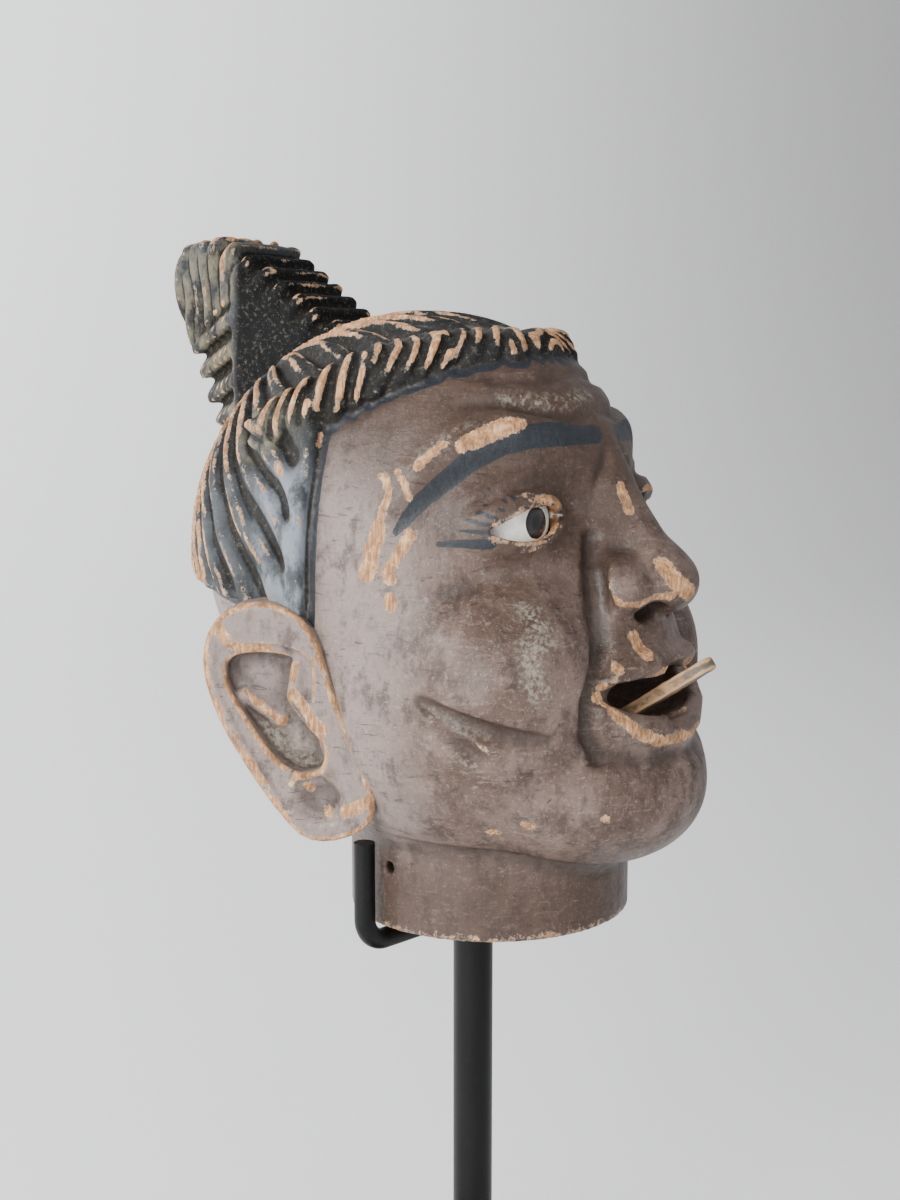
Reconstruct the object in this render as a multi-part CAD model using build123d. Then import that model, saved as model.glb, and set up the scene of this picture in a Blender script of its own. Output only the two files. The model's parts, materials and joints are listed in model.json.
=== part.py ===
from build123d import *
import math
import os

# Carved wooden puppet head with turning eyes and a wagging tongue, on a steel display stand.
# Millimetres, +Z up.  The origin is the centre of the base underside, the stand's post is the
# Z axis, and the puppet looks along -Y, so its left side is +X.

# ---- stand ----
BASE_SIDE = 80.0
BASE_THICK = 6.0
BASE_CORNER_R = 3.0
BASE_EDGE = 0.8
FELT_THICK = 1.0
FELT_INSET = 1.5
POST_R = 4.0
POST_FOOT_R = 2.0            # threaded hole in the foot of the post
POST_FOOT_DEPTH = 12.0
SCREW_HEAD_R = 4.2
SCREW_HEAD_H = 2.3
SCREW_REACH = 10.0           # screw tip above the top of the base plate
SCREW_SLOT = (1.0, 1.0)      # width and depth
CAP_R = 6.0
CAP_LEN = 12.0
CAP_TOP = 101.7              # above the neck rim
CAP_ROUND = 2.5
CAP_WALL = 3.0               # rubber over the top of the post
HOOK_R = 2.0
HOOK_BEND_R = 5.0
HOOK_ANGLE = 160.0           # compass angle of the hook's leg about the neck, from +X
HOOK_DIST = 31.0             # leg axis to neck axis
HOOK_DROP = 2.8              # rod axis below the neck rim
HOOK_LEG_TOP = 17.0          # leg top above the neck rim

# ---- head: heights are given above the neck rim ----
RIM = 105.0
NECK_Y = -3.8
NECK_R = 27.5
NECK_TOP = 30.0
BORE_R = 19.0
BORE_TOP = 48.0
WALL = 7.0
HAIR_PROUD = 2.8             # the hair stands this far proud of the skin
HAIR_LOW_Z = 50.0            # no hair below this
SEAM_Y = 9.0                 # plane where face and back of the head meet
HAIRLINE_Z = 101.0           # height of the hairline over the post
HAIRLINE_SLOPE = -0.35       # and its rise along Y
SECTION_POWER = 2.25         # 2 is an ellipse, more is squarer
SECTION_POINTS = 16
FAR = 200.0                  # beyond every part of the head
# height, half width, front Y, back Y of the skin
SKULL = [
    (13.5, 19.0, -33.0, 18.0),
    (18.0, 27.0, -41.0, 24.0),
    (30.0, 37.0, -46.5, 33.0),
    (45.0, 40.5, -40.0, 45.0),
    (60.0, 41.0, -35.5, 55.0),
    (75.0, 41.0, -31.5, 58.0),
    (90.0, 38.5, -28.5, 55.0),
    (101.0, 32.0, -24.0, 48.0),
    (108.0, 24.0, -17.5, 38.0),
    (112.5, 14.0, -9.0, 27.0),
    (114.5, 6.0, 0.0, 17.0),
]
CAVITY_FLOOR = 40.0
CAVITY_TOP = 102.0
CAVITY_FLOOR_IN = (4.0, 8.0, 4.0)    # the floor's step in at the sides, front and back
CAVITY_TOP_IN = 4.0
CHEEK = ((21.0, -20.0, 49.0), (20.5, 19.5, 19.5))
CHIN = ((0.0, -29.0, 28.0), (25.0, 19.5, 15.5))
NOSE_TIP = ((0.0, -39.0, 67.0), (8.0, 8.5, 7.0))
NOSE_BRIDGE = ((0.0, -28.5, 76.0), (6.5, 8.0, 13.0))
NOSE_WING = ((8.0, -35.0, 64.5), (6.0, 6.0, 5.5))
UPPER_LIP = ((0.0, -34.0, 53.5), (16.0, 10.0, 6.0))

# ---- eyes ----
EYE = (20.5, -17.0, 78.0)
EYE_R = 9.0
EYE_GAP = 0.4                # ball to socket
LID = (11.5, 11.5, 10.0)
LID_LOOK = 12.0              # degrees that each eye opening looks outwards
EYE_OPEN_W = 15.0
EYE_OPEN_H = 6.6
EYE_FLAT = 8.4               # centre to the flat under the ball
PIN_R = 0.8
PIN_FIT = 0.05               # running fit, radial
EYE_PIN_BELOW = 24.0
EYE_PIN_ABOVE = 14.0
CRANK_PIN_TAIL = 0.6         # crank pin below the tie bar
CRANK_LEN = 8.0
CRANK_HUB_R = 3.5
CRANK_TIP_R = 2.5
CRANK_T = 2.0
LINK_T = 1.6
LINK_R = 2.6
LINK_BAR_W = 3.0
LINK_GAP = 0.3
CHASE_HALF_W = 28.0          # slot inside the brow for the cranks and the bar
CHASE_FRONT = -23.5
CHASE_FLOOR = 60.5
CHASE_TOP = 74.0

# ---- tongue and mouth ----
TONGUE_PIVOT = (-22.0, 33.2)     # Y and height
TONGUE_RISE = 33.8               # degrees above level at rest
TONGUE_W = 7.0
TONGUE_T = 2.5
TONGUE_OUT = 34.0                # pivot to tip
TONGUE_TAIL = 11.0
TONGUE_HOLE_R = 1.0
TONGUE_HOLE_IN = 3.0             # tail end to the hole for the pull cord
TONGUE_PIN_HALF = 13.0
MOUTH_HALF_W = 19.0
MOUTH_Z = 46.0
MOUTH_H = 9.0
MOUTH_CORNER = 1.5               # mouth corners above its middle
MOUTH_BACK = -30.0
THROAT_HALF_W = 5.0
THROAT_BOTTOM = 20.0
THROAT_BACK = -14.0
GROOVE_FRONT = -40.0
GROOVE_BOTTOM = 35.0
LIP_NOTCH = (-48.0, 39.5, 52.3)  # front, bottom and top of the notch through both lips

# ---- ears ----
EAR_ROOT = (41.5, 5.0)
EAR_FLARE = 24.0                 # degrees that the ear stands off the side of the head
EAR_T = 11.0
GLUE_LINE = 0.25                 # thickness of the glue under each ear
# distance back along the ear from its root, height above the neck rim
EAR_OUTLINE = [(3.4, 59.0), (12.1, 64.2), (21.0, 61.5), (24.2, 54.0), (20.8, 41.2),
               (14.5, 31.2), (5.7, 20.6), (-1.1, 21.0), (-6.8, 24.5), (-6.8, 31.0),
               (-1.5, 44.0), (2.0, 52.0)]
CONCHA = [(8.0, 52.5), (18.0, 53.0), (17.5, 46.0), (12.0, 37.0), (7.0, 33.5), (3.0, 37.0), (6.0, 46.0)]
CONCHA_DEPTH = 4.5

# ---- topknot ----
KNOT_SIDE = [(22.0, 113.0), (48.0, 132.0), (64.0, 132.0), (72.0, 122.0), (60.0, 96.0), (30.0, 100.0)]
KNOT_PLAN = [(10.0, 20.0), (14.0, 32.0), (13.5, 50.0), (7.0, 76.0)]
KNOT_BLOCK = 60.0                # sawn block, larger than the knot every way
KNOT_SCALLOPS = 5
KNOT_SCALLOP_R = 3.6
KNOT_SCALLOP_AT = (0.75, -1.4, 2.2)  # first one along the edge, and the offset from it in Y and Z
TENON_R = 5.0
TENON_LEN = 18.0
TENON_AT = (44.5, 100.0)
TENON_LEAN = 35.0
COSTUME_HOLE_R = 1.2
COSTUME_HOLE_Y = 3.0
COSTUME_HOLE_Z = 12.0


def ellipsoid(centre, radii, side=1):
    x, y, z = centre
    ball = Rot(90, 0, 0) * Rot(0, 0, 37) * Sphere(1)
    return Pos(side * x, y, RIM + z) * scale(ball, by=radii)


def rod(radius, bottom, top, x=0.0, y=0.0):
    return Pos(x, y, (bottom + top) / 2) * Cylinder(radius, top - bottom)


def slab(x0, x1, y0, y1, z0, z1):
    return Pos((x0 + x1) / 2, (y0 + y1) / 2, (z0 + z1) / 2) * Box(x1 - x0, y1 - y0, z1 - z0)


def power(value, exponent):
    return math.copysign(abs(value) ** exponent, value)


def section(height, half_width, front, back, grow):
    """One horizontal closed curve of the head, grown outwards by `grow`."""
    middle = (front + back) / 2
    half_depth = (back - front) / 2 + grow
    points = []
    for i in range(SECTION_POINTS):
        angle = 2 * math.pi * (i + 0.5) / SECTION_POINTS
        points.append((power(math.cos(angle), 2 / SECTION_POWER) * (half_width + grow),
                       middle + power(math.sin(angle), 2 / SECTION_POWER) * half_depth))
    plane = Plane.XY.offset(RIM + height)
    return plane * make_face(Edge.make_spline([Vector(*p) for p in points], periodic=True))


def head_form(stations, grow):
    """Loft through the stations; only those above the hair's lower edge are grown."""
    return loft([section(z, w, front, back, grow if z > HAIR_LOW_Z else 0.0)
                 for z, w, front, back in stations])


def polygon_prism(plane, points, amount):
    return extrude(plane * make_face(Polyline(*points, close=True)), amount)


# ---------------------------------------------------------------- stand

def make_base_plate():
    profile = RectangleRounded(BASE_SIDE, BASE_SIDE, BASE_CORNER_R)
    plate = extrude(Pos(0, 0, FELT_THICK) * profile, BASE_THICK)
    plate = chamfer(plate.edges().group_by(Axis.Z)[-1], BASE_EDGE)
    plate -= rod(POST_FOOT_R, 0, FELT_THICK + BASE_THICK)
    return plate - screw_head()


def screw_head():
    cone = Cone(SCREW_HEAD_R, POST_FOOT_R, SCREW_HEAD_H)
    return Pos(0, 0, FELT_THICK + SCREW_HEAD_H / 2) * cone


def make_base_screw():
    screw = screw_head() + rod(POST_FOOT_R, FELT_THICK + SCREW_HEAD_H / 2,
                               FELT_THICK + BASE_THICK + SCREW_REACH)
    width, depth = SCREW_SLOT
    return screw - slab(-width / 2, width / 2, -SCREW_HEAD_R, SCREW_HEAD_R, 0, FELT_THICK + depth)


def make_base_felt():
    """Full sheet: it covers the head of the screw."""
    side = BASE_SIDE - 2 * FELT_INSET
    return extrude(RectangleRounded(side, side, BASE_CORNER_R), FELT_THICK)


def make_post():
    foot = FELT_THICK + BASE_THICK
    return rod(POST_R, foot, RIM + CAP_TOP - CAP_WALL) - rod(POST_FOOT_R, foot, foot + POST_FOOT_DEPTH)


def make_post_cap():
    top = RIM + CAP_TOP
    cap = rod(CAP_R, top - CAP_LEN, top)
    cap = fillet(cap.edges().group_by(Axis.Z)[-1], CAP_ROUND)
    return cap - rod(POST_R, top - CAP_LEN, top - CAP_WALL)


def make_neck_hook():
    """J-shaped rod: out from the post, under the rim, and up beside the neck."""
    out = Vector(math.cos(math.radians(HOOK_ANGLE)), math.sin(math.radians(HOOK_ANGLE)), 0)
    leg = Vector(0, NECK_Y, 0) + out * HOOK_DIST
    run = Vector(leg.X, leg.Y, 0)
    low = RIM - HOOK_DROP
    corner = Vector(leg.X, leg.Y, low)
    away = run.normalized()
    bend_in = corner - away * HOOK_BEND_R
    bend_up = corner + Vector(0, 0, HOOK_BEND_R)
    path = Line(Vector(0, 0, low), bend_in)
    path += TangentArc(bend_in, bend_up, tangent=away)
    path += Line(bend_up, Vector(leg.X, leg.Y, RIM + HOOK_LEG_TOP))
    start = Plane(origin=(0, 0, low), z_dir=away)
    hook = sweep(start * Circle(HOOK_R), path=path)
    return hook - rod(POST_R, low - 2 * HOOK_R, low + 2 * HOOK_R)


# ---------------------------------------------------------------- head

def features():
    """Cheeks, chin, nose, lips and eyelids that stand out from the plain head form."""
    parts = [ellipsoid(*CHIN), ellipsoid(*NOSE_BRIDGE), ellipsoid(*NOSE_TIP), ellipsoid(*UPPER_LIP)]
    for side in (-1, 1):
        parts += [ellipsoid(*CHEEK, side=side), ellipsoid(*NOSE_WING, side=side), ellipsoid(EYE, LID, side)]
    return parts


def half_space(keep_front):
    if keep_front:
        return slab(-FAR, FAR, -FAR, SEAM_Y, 0, 2 * FAR)
    return slab(-FAR, FAR, SEAM_Y, FAR, 0, 2 * FAR)


def above_hairline():
    """Everything above the sloping plane of the hairline."""
    slope = math.degrees(math.atan(HAIRLINE_SLOPE))
    return Pos(0, 0, RIM + HAIRLINE_Z) * Rot(slope, 0, 0) * Pos(0, 0, FAR / 2) * Box(FAR, FAR, FAR)


def cavity():
    inner = [(z, w - WALL, front + WALL, back - WALL) for z, w, front, back in SKULL
             if CAVITY_FLOOR < z < CAVITY_TOP]
    first, last = inner[0], inner[-1]
    sides, front, back = CAVITY_FLOOR_IN
    inner = [(CAVITY_FLOOR, first[1] - sides, first[2] + front, first[3] - back)] + inner
    inner[-1] = (CAVITY_TOP, last[1] - CAVITY_TOP_IN, last[2] + CAVITY_TOP_IN, last[3] - CAVITY_TOP_IN)
    return head_form(inner, 0.0) + rod(BORE_R, RIM, RIM + BORE_TOP, y=NECK_Y)


def eye_plane(side):
    """Plane through the middle of an eye, facing the way that its opening looks."""
    look = math.radians(LID_LOOK)
    return Plane(origin=(side * EYE[0], EYE[1], RIM + EYE[2]),
                 x_dir=(math.cos(look), side * math.sin(look), 0),
                 z_dir=(side * math.sin(look), -math.cos(look), 0))


def eye_cuts(side):
    x, y, z = side * EYE[0], EYE[1], RIM + EYE[2]
    half_w, half_h = EYE_OPEN_W / 2, EYE_OPEN_H / 2
    lids = ThreePointArc((-half_w, 0), (0, half_h), (half_w, 0))
    lids += ThreePointArc((half_w, 0), (0, -half_h), (-half_w, 0))
    opening = extrude(eye_plane(side) * make_face(lids), 30)
    socket = Pos(x, y, z) * Rot(90, 0, 0) * Sphere(EYE_R + EYE_GAP)
    return [opening, socket, rod(PIN_R, z - EYE_PIN_BELOW, z + EYE_PIN_ABOVE, x, y)]


def chase():
    """Slot behind the eyes where the cranks and the tie bar swing."""
    return slab(-CHASE_HALF_W, CHASE_HALF_W, CHASE_FRONT, SEAM_Y, RIM + CHASE_FLOOR, RIM + CHASE_TOP)


def mouth():
    """Lens-shaped mouth opening, narrowing to the slot that the tongue swings in."""
    half = MOUTH_H / 2
    right, left = (-MOUTH_HALF_W, MOUTH_CORNER), (MOUTH_HALF_W, MOUTH_CORNER)
    lips = ThreePointArc(right, (0, half), left) + ThreePointArc(left, (0, -half), right)
    plane = Plane(origin=(0, MOUTH_BACK, RIM + MOUTH_Z), x_dir=(1, 0, 0), z_dir=(0, -1, 0))
    opening = extrude(plane * make_face(lips), 40)
    top = RIM + MOUTH_Z + half
    throat = slab(-THROAT_HALF_W, THROAT_HALF_W, MOUTH_BACK, THROAT_BACK, RIM + THROAT_BOTTOM, top)
    groove = slab(-THROAT_HALF_W, THROAT_HALF_W, GROOVE_FRONT, THROAT_BACK, RIM + GROOVE_BOTTOM, top)
    front, low, high = LIP_NOTCH
    notch = slab(-THROAT_HALF_W, THROAT_HALF_W, front, MOUTH_BACK, RIM + low, RIM + high)
    return [opening, throat, groove, notch, tongue_pin_form()]


def tongue_pin_form():
    y, z = TONGUE_PIVOT
    return Pos(0, y, RIM + z) * Rot(0, 90, 0) * Cylinder(PIN_R, 2 * TONGUE_PIN_HALF)


def costume_hole():
    """Small cross hole in the side of the neck for the costume's tie."""
    drill = Rot(0, 90, 0) * Cylinder(COSTUME_HOLE_R, 2 * (NECK_R - BORE_R))
    return Pos(-NECK_R, COSTUME_HOLE_Y, RIM + COSTUME_HOLE_Z) * drill


def ear_blank():
    """The left ear: a slab that flares from the side of the head, with a hollow in its face."""
    flare = math.radians(EAR_FLARE)
    x, y = EAR_ROOT
    plane = Plane(origin=(x, y, RIM), x_dir=(math.sin(flare), math.cos(flare), 0),
                  z_dir=(math.cos(flare), -math.sin(flare), 0))
    outline = plane * make_face(Spline(*EAR_OUTLINE, periodic=True))
    blank = extrude(outline, -EAR_T)
    hollow = plane * make_face(Spline(*CONCHA, periodic=True))
    return blank - extrude(hollow, -CONCHA_DEPTH)


def knot_form():
    side = polygon_prism(Plane.YZ.offset(-KNOT_BLOCK / 2), [(y, RIM + z) for y, z in KNOT_SIDE], KNOT_BLOCK)
    plan = KNOT_PLAN + [(-x, y) for x, y in reversed(KNOT_PLAN)]
    return side & polygon_prism(Plane.XY.offset(RIM + KNOT_BLOCK), plan, 2 * KNOT_BLOCK)


def knot_scallops():
    """Round notches down the front edge of the topknot."""
    (y0, z0), (y1, z1) = KNOT_SIDE[0], KNOT_SIDE[1]
    first, shift_y, shift_z = KNOT_SCALLOP_AT
    cuts = []
    for i in range(KNOT_SCALLOPS):
        t = (i + first) / KNOT_SCALLOPS
        place = Pos(0, y0 + (y1 - y0) * t + shift_y, RIM + z0 + (z1 - z0) * t + shift_z)
        cuts.append(place * Rot(0, 90, 0) * Cylinder(KNOT_SCALLOP_R, KNOT_BLOCK))
    return cuts


def tenon():
    """Round tenon that pegs the topknot through the wall of the head."""
    y, z = TENON_AT
    return Pos(0, y, RIM + z) * Rot(-TENON_LEAN, 0, 0) * Cylinder(TENON_R, TENON_LEN)


def neck():
    return rod(NECK_R, RIM, RIM + NECK_TOP, y=NECK_Y)


def face_blank(hair):
    """Front half of the head before it is hollowed."""
    blank = head_form(SKULL, 0.0) + neck()
    for piece in features():
        blank += piece
    blank += hair & above_hairline()
    return blank & half_space(True)


def make_head():
    hair = head_form(SKULL, HAIR_PROUD)
    front = face_blank(hair)
    hollow = cavity()
    face = front - ([hollow, chase(), costume_hole()] + mouth() + eye_cuts(-1) + eye_cuts(1))
    back = ((hair + neck()) & half_space(False)) - [hollow, tenon()]
    left_ear = Pos(GLUE_LINE, 0, 0) * (ear_blank() - front - hair)
    right_ear = mirror(left_ear, about=Plane.YZ)
    knot = (knot_form() - hair) + tenon()
    return face, back, left_ear, right_ear, knot - knot_scallops()


# ---------------------------------------------------------------- eyes and tongue

def make_eye(side):
    x, y, z = side * EYE[0], EYE[1], RIM + EYE[2]
    ball = Pos(x, y, z) * Sphere(EYE_R)
    ball -= slab(x - EYE_R, x + EYE_R, y - EYE_R, y + EYE_R, z - EYE_R, z - EYE_FLAT)
    return ball - rod(PIN_R + PIN_FIT, z - EYE_R, z + EYE_R, x, y)


def make_eye_crank(side):
    x, y, top = side * EYE[0], EYE[1], RIM + EYE[2] - EYE_FLAT
    tip = y + CRANK_LEN
    bottom = top - CRANK_T
    crank = rod(CRANK_HUB_R, bottom, top, x, y) + rod(CRANK_TIP_R, bottom, top, x, tip)
    crank += slab(x - CRANK_TIP_R, x + CRANK_TIP_R, y, tip, bottom, top)
    crank += rod(PIN_R, bottom - LINK_GAP - LINK_T - CRANK_PIN_TAIL, bottom, x, tip)
    return crank - rod(PIN_R + PIN_FIT, bottom, top, x, y)


def make_eye_pin(side):
    x, y, z = side * EYE[0], EYE[1], RIM + EYE[2]
    return rod(PIN_R, z - EYE_PIN_BELOW, z + EYE_PIN_ABOVE, x, y)


def make_eye_link():
    top = RIM + EYE[2] - EYE_FLAT - CRANK_T - LINK_GAP
    bottom, y = top - LINK_T, EYE[1] + CRANK_LEN
    bar = slab(-EYE[0], EYE[0], y - LINK_BAR_W / 2, y + LINK_BAR_W / 2, bottom, top)
    for side in (-1, 1):
        bar += rod(LINK_R, bottom, top, side * EYE[0], y)
    for side in (-1, 1):
        bar -= rod(PIN_R + PIN_FIT, bottom, top, side * EYE[0], y)
    return bar


def make_tongue():
    """Flat strip with a rounded tip, a pivot hole, and a hole in its tail for the pull cord."""
    blank = slab(-TONGUE_W / 2, TONGUE_W / 2, -TONGUE_OUT + TONGUE_W / 2, TONGUE_TAIL,
                 -TONGUE_T / 2, TONGUE_T / 2)
    blank += rod(TONGUE_W / 2, -TONGUE_T / 2, TONGUE_T / 2, y=-TONGUE_OUT + TONGUE_W / 2)
    hub = Rot(0, 90, 0) * Cylinder(TONGUE_T, TONGUE_W)
    strip = blank + hub - Rot(0, 90, 0) * Cylinder(PIN_R + PIN_FIT, 2 * TONGUE_W)
    strip -= rod(TONGUE_HOLE_R, -TONGUE_T, TONGUE_T, y=TONGUE_TAIL - TONGUE_HOLE_IN)
    y, z = TONGUE_PIVOT
    return Pos(0, y, RIM + z) * Rot(-TONGUE_RISE, 0, 0) * strip


face_shell, back_shell, left_ear, right_ear, topknot = make_head()
nodes = {
    "base_plate": make_base_plate(),
    "base_felt": make_base_felt(),
    "base_screw": make_base_screw(),
    "post": make_post(),
    "post_cap": make_post_cap(),
    "neck_hook": make_neck_hook(),
    "face_shell": face_shell,
    "back_shell": back_shell,
    "right_ear": right_ear,
    "left_ear": left_ear,
    "topknot": topknot,
    "right_eye": make_eye(-1),
    "left_eye": make_eye(1),
    "right_eye_crank": make_eye_crank(-1),
    "left_eye_crank": make_eye_crank(1),
    "right_eye_pin": make_eye_pin(-1),
    "left_eye_pin": make_eye_pin(1),
    "eye_link": make_eye_link(),
    "tongue": make_tongue(),
    "tongue_pin": tongue_pin_form(),
}
os.makedirs("parts", exist_ok=True)
for name, shape in nodes.items():
    export_step(shape, f"parts/{name}.step")
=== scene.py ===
import json
import math

import bmesh
import bpy
import numpy as np
import openvdb
from mathutils import Matrix, Vector


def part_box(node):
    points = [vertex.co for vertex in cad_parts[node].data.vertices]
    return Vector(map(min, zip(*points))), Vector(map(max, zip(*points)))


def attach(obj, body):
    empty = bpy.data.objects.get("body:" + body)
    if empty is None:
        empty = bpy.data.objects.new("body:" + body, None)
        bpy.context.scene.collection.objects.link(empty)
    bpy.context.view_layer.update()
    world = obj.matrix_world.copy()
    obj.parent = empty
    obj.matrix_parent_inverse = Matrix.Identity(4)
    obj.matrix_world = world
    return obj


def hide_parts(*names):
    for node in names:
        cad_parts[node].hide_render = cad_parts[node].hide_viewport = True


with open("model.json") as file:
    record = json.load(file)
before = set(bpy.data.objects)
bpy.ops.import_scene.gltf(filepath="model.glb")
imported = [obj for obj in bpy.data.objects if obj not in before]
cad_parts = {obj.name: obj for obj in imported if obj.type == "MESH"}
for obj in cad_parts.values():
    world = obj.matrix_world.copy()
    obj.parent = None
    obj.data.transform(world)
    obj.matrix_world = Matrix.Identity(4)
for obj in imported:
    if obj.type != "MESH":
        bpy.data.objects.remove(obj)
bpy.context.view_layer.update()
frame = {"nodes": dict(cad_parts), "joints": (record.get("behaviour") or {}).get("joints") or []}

# The head is sculpted in millimetres on a distance field whose height starts at the neck rim.
# Every other position is read from the frame.
MM = 0.001


def box_mm(node):
    low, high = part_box(node)
    return np.array(low) / MM, np.array(high) / MM


RIM = box_mm("face_shell")[0][2]
SEAM_Y = box_mm("back_shell")[0][1]
JOINTS = {joint["name"]: joint for joint in frame["joints"]}
EYE = np.array(JOINTS["eye_left_turn"]["pos_m"]) / MM - (0, 0, RIM)
EYE_R = (box_mm("left_eye")[1][0] - box_mm("left_eye")[0][0]) / 2
TONGUE_PIVOT = np.array(JOINTS["tongue_wag"]["pos_m"]) / MM - (0, 0, RIM)
NECK_Y = -3.8
NECK_R = 27.5
BORE_R = 19.0
BORE_TOP = 50.0
BORE_LIP = 3.0               # the bore's lowest part stays fine, because it shows from below
CAVITY = ((0, 13, 70), (33, 37.5, 32.5))
FINE = 0.61                  # grid step of the head
FINER = 0.42                 # grid step of ears and topknot
SIDES = (-1, 1)
FAR_AWAY = 60.0              # distance value of an empty block
MESH_BAND = 5.0              # distances are kept this far from the surface
WOBBLE_CELLS = 32            # size of the noise table, and a shift that keeps all points positive
WOBBLE_SHIFT = 1000.0


def put(name, data):
    """A new object in the scene."""
    thing = bpy.data.objects.new(name, data)
    bpy.context.collection.objects.link(thing)
    return thing


def smoothed(mesh):
    mesh.polygons.foreach_set("use_smooth", [True] * len(mesh.polygons))


# ---------------------------------------------------------------- distance field

def smooth_min(a, b, k):
    if k <= 0:
        return np.minimum(a, b)
    h = np.clip(0.5 + 0.5 * (b - a) / k, 0, 1)
    return b * (1 - h) + a * h - k * h * (1 - h)


def smooth_max(a, b, k):
    return -smooth_min(-a, -b, k)


class Form:
    """A distance function with the box that holds it."""

    def __init__(self, low, high, distance):
        self.low, self.high, self.distance = np.array(low, float), np.array(high, float), distance


def ellipsoid(centre, radii, tilt=0.0):
    """tilt turns the ellipsoid about X, in degrees."""
    cx, cy, cz = centre
    rx, ry, rz = radii
    c, s = math.cos(math.radians(tilt)), math.sin(math.radians(tilt))

    def distance(x, y, z):
        a, b0, c0 = x - cx, y - cy, z - cz
        b, d = c * b0 + s * c0, c * c0 - s * b0
        k0 = np.sqrt((a / rx) ** 2 + (b / ry) ** 2 + (d / rz) ** 2)
        k1 = np.sqrt((a / rx ** 2) ** 2 + (b / ry ** 2) ** 2 + (d / rz ** 2) ** 2)
        return k0 * (k0 - 1) / np.maximum(k1, 1e-6)

    reach = np.array([rx, max(ry, rz) if tilt else ry, max(ry, rz) if tilt else rz])
    return Form(np.array(centre) - reach, np.array(centre) + reach, distance)


def stroke(points, radii):
    """A round bar through the points, with a radius at each."""
    points = [np.array(p, float) for p in points]
    if np.isscalar(radii):
        radii = [radii] * len(points)

    def distance(x, y, z):
        best = None
        for a, b, ra, rb in zip(points, points[1:], radii, radii[1:]):
            ab = b - a
            px, py, pz = x - a[0], y - a[1], z - a[2]
            t = np.clip((px * ab[0] + py * ab[1] + pz * ab[2]) / max(ab @ ab, 1e-9), 0, 1)
            away = np.sqrt((px - t * ab[0]) ** 2 + (py - t * ab[1]) ** 2 + (pz - t * ab[2]) ** 2)
            d = away - (ra + (rb - ra) * t)
            best = d if best is None else np.minimum(best, d)
        return best

    reach = max(radii)
    return Form(np.min(points, 0) - reach, np.max(points, 0) + reach, distance)


def mirrored(form):
    """The same form on the other side of the face."""
    low, high = form.low.copy(), form.high.copy()
    low[0], high[0] = -form.high[0], -form.low[0]
    return Form(low, high, lambda x, y, z: form.distance(-x, y, z))


def corners(cell, part):
    """The eight grid corners about each point, each with its share of the point's value."""
    for shift in np.ndindex(2, 2, 2):
        beside = [np.where(s, part[..., i], 1 - part[..., i]) for i, s in enumerate(shift)]
        yield tuple(cell[..., i] + s for i, s in enumerate(shift)), beside[0] * beside[1] * beside[2]


class Clay:
    """A block of distance values that forms are added to and cut from."""

    def __init__(self, low, high, step):
        self.step, self.low = step, np.array(low, float)
        count = np.ceil((np.array(high) - self.low) / step).astype(int) + 1
        self.axes = [self.low[i] + step * np.arange(count[i]) for i in range(3)]
        self.d = np.full(tuple(count), FAR_AWAY, np.float32)
        self.hair = self.d.copy()

    def grid(self):
        """The three axes, shaped to spread over the block."""
        return [a.reshape([-1 if j == i else 1 for j in range(3)]) for i, a in enumerate(self.axes)]

    def window(self, form, margin):
        """The part of the block near a form, as slices and as axes."""
        slices, grid = [], []
        for i, axis in enumerate(self.axes):
            a = int(np.clip(np.searchsorted(axis, form.low[i] - margin), 0, len(axis) - 1))
            b = int(np.clip(np.searchsorted(axis, form.high[i] + margin), a + 1, len(axis)))
            slices.append(slice(a, b))
            shape = [1, 1, 1]
            shape[i] = b - a
            grid.append(axis[a:b].reshape(shape).astype(np.float32))
        return tuple(slices), grid

    def add(self, form, k=0.0, both=False):
        """k is the width over which the form blends in; both also adds its mirror image."""
        for f in ((form, mirrored(form)) if both else (form,)):
            where, (x, y, z) = self.window(f, 2 * k + 6)
            self.d[where] = smooth_min(self.d[where], f.distance(x, y, z), k)

    def cut(self, form, k=0.0, both=False):
        for f in ((form, mirrored(form)) if both else (form,)):
            where, (x, y, z) = self.window(f, 2 * k + 3)
            self.d[where] = smooth_max(self.d[where], -f.distance(x, y, z), k)

    def keep(self, distance, k=0.0):
        x, y, z = self.grid()
        self.d = smooth_max(self.d, distance(x, y, z).astype(np.float32), k)

    def sample(self, points, field=None):
        """Trilinear value of the field at each point."""
        field = self.d if field is None else field
        g = (points - self.low) / self.step
        g = np.clip(g, 0, np.array(field.shape) - 1.001)
        cell = g.astype(int)
        return sum(share * field[corner] for corner, share in corners(cell, g - cell))

    def gradient(self, points):
        e = self.step
        parts = [self.sample(points + off) - self.sample(points - off) for off in np.eye(3) * e]
        g = np.stack(parts, 1)
        return g / np.maximum(np.linalg.norm(g, axis=1, keepdims=True), 1e-6)

    def snap(self, points):
        """Moves points onto the surface."""
        p = np.array(points, float)
        for _ in range(4):
            p = p - self.gradient(p) * self.sample(p)[:, None]
        return p

    def mesh(self):
        grid = openvdb.FloatGrid()
        grid.background = MESH_BAND
        grid.copyFromArray(np.clip(self.d, -MESH_BAND, MESH_BAND).astype(np.float32))
        points, quads = grid.convertToQuads(isovalue=0.0)
        return np.array(points) * self.step + self.low, np.array(quads)


def on_right(points):
    """The points, those on the left mirrored to the right side (-X)."""
    q = np.array(points, float)
    q[:, 0] = -np.abs(q[:, 0])
    return q


def blurred(field, radius):
    """Box blur along each axis."""
    for axis in range(3):
        total = np.cumsum(field.astype(np.float64), axis)
        n = field.shape[axis]
        hi = np.minimum(np.arange(n) + radius, n - 1)
        lo = np.maximum(np.arange(n) - radius - 1, 0)
        field = ((np.take(total, hi, axis) - np.take(total, lo, axis))
                 / (hi - lo).reshape([-1 if j == axis else 1 for j in range(3)])).astype(np.float32)
    return field


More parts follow.
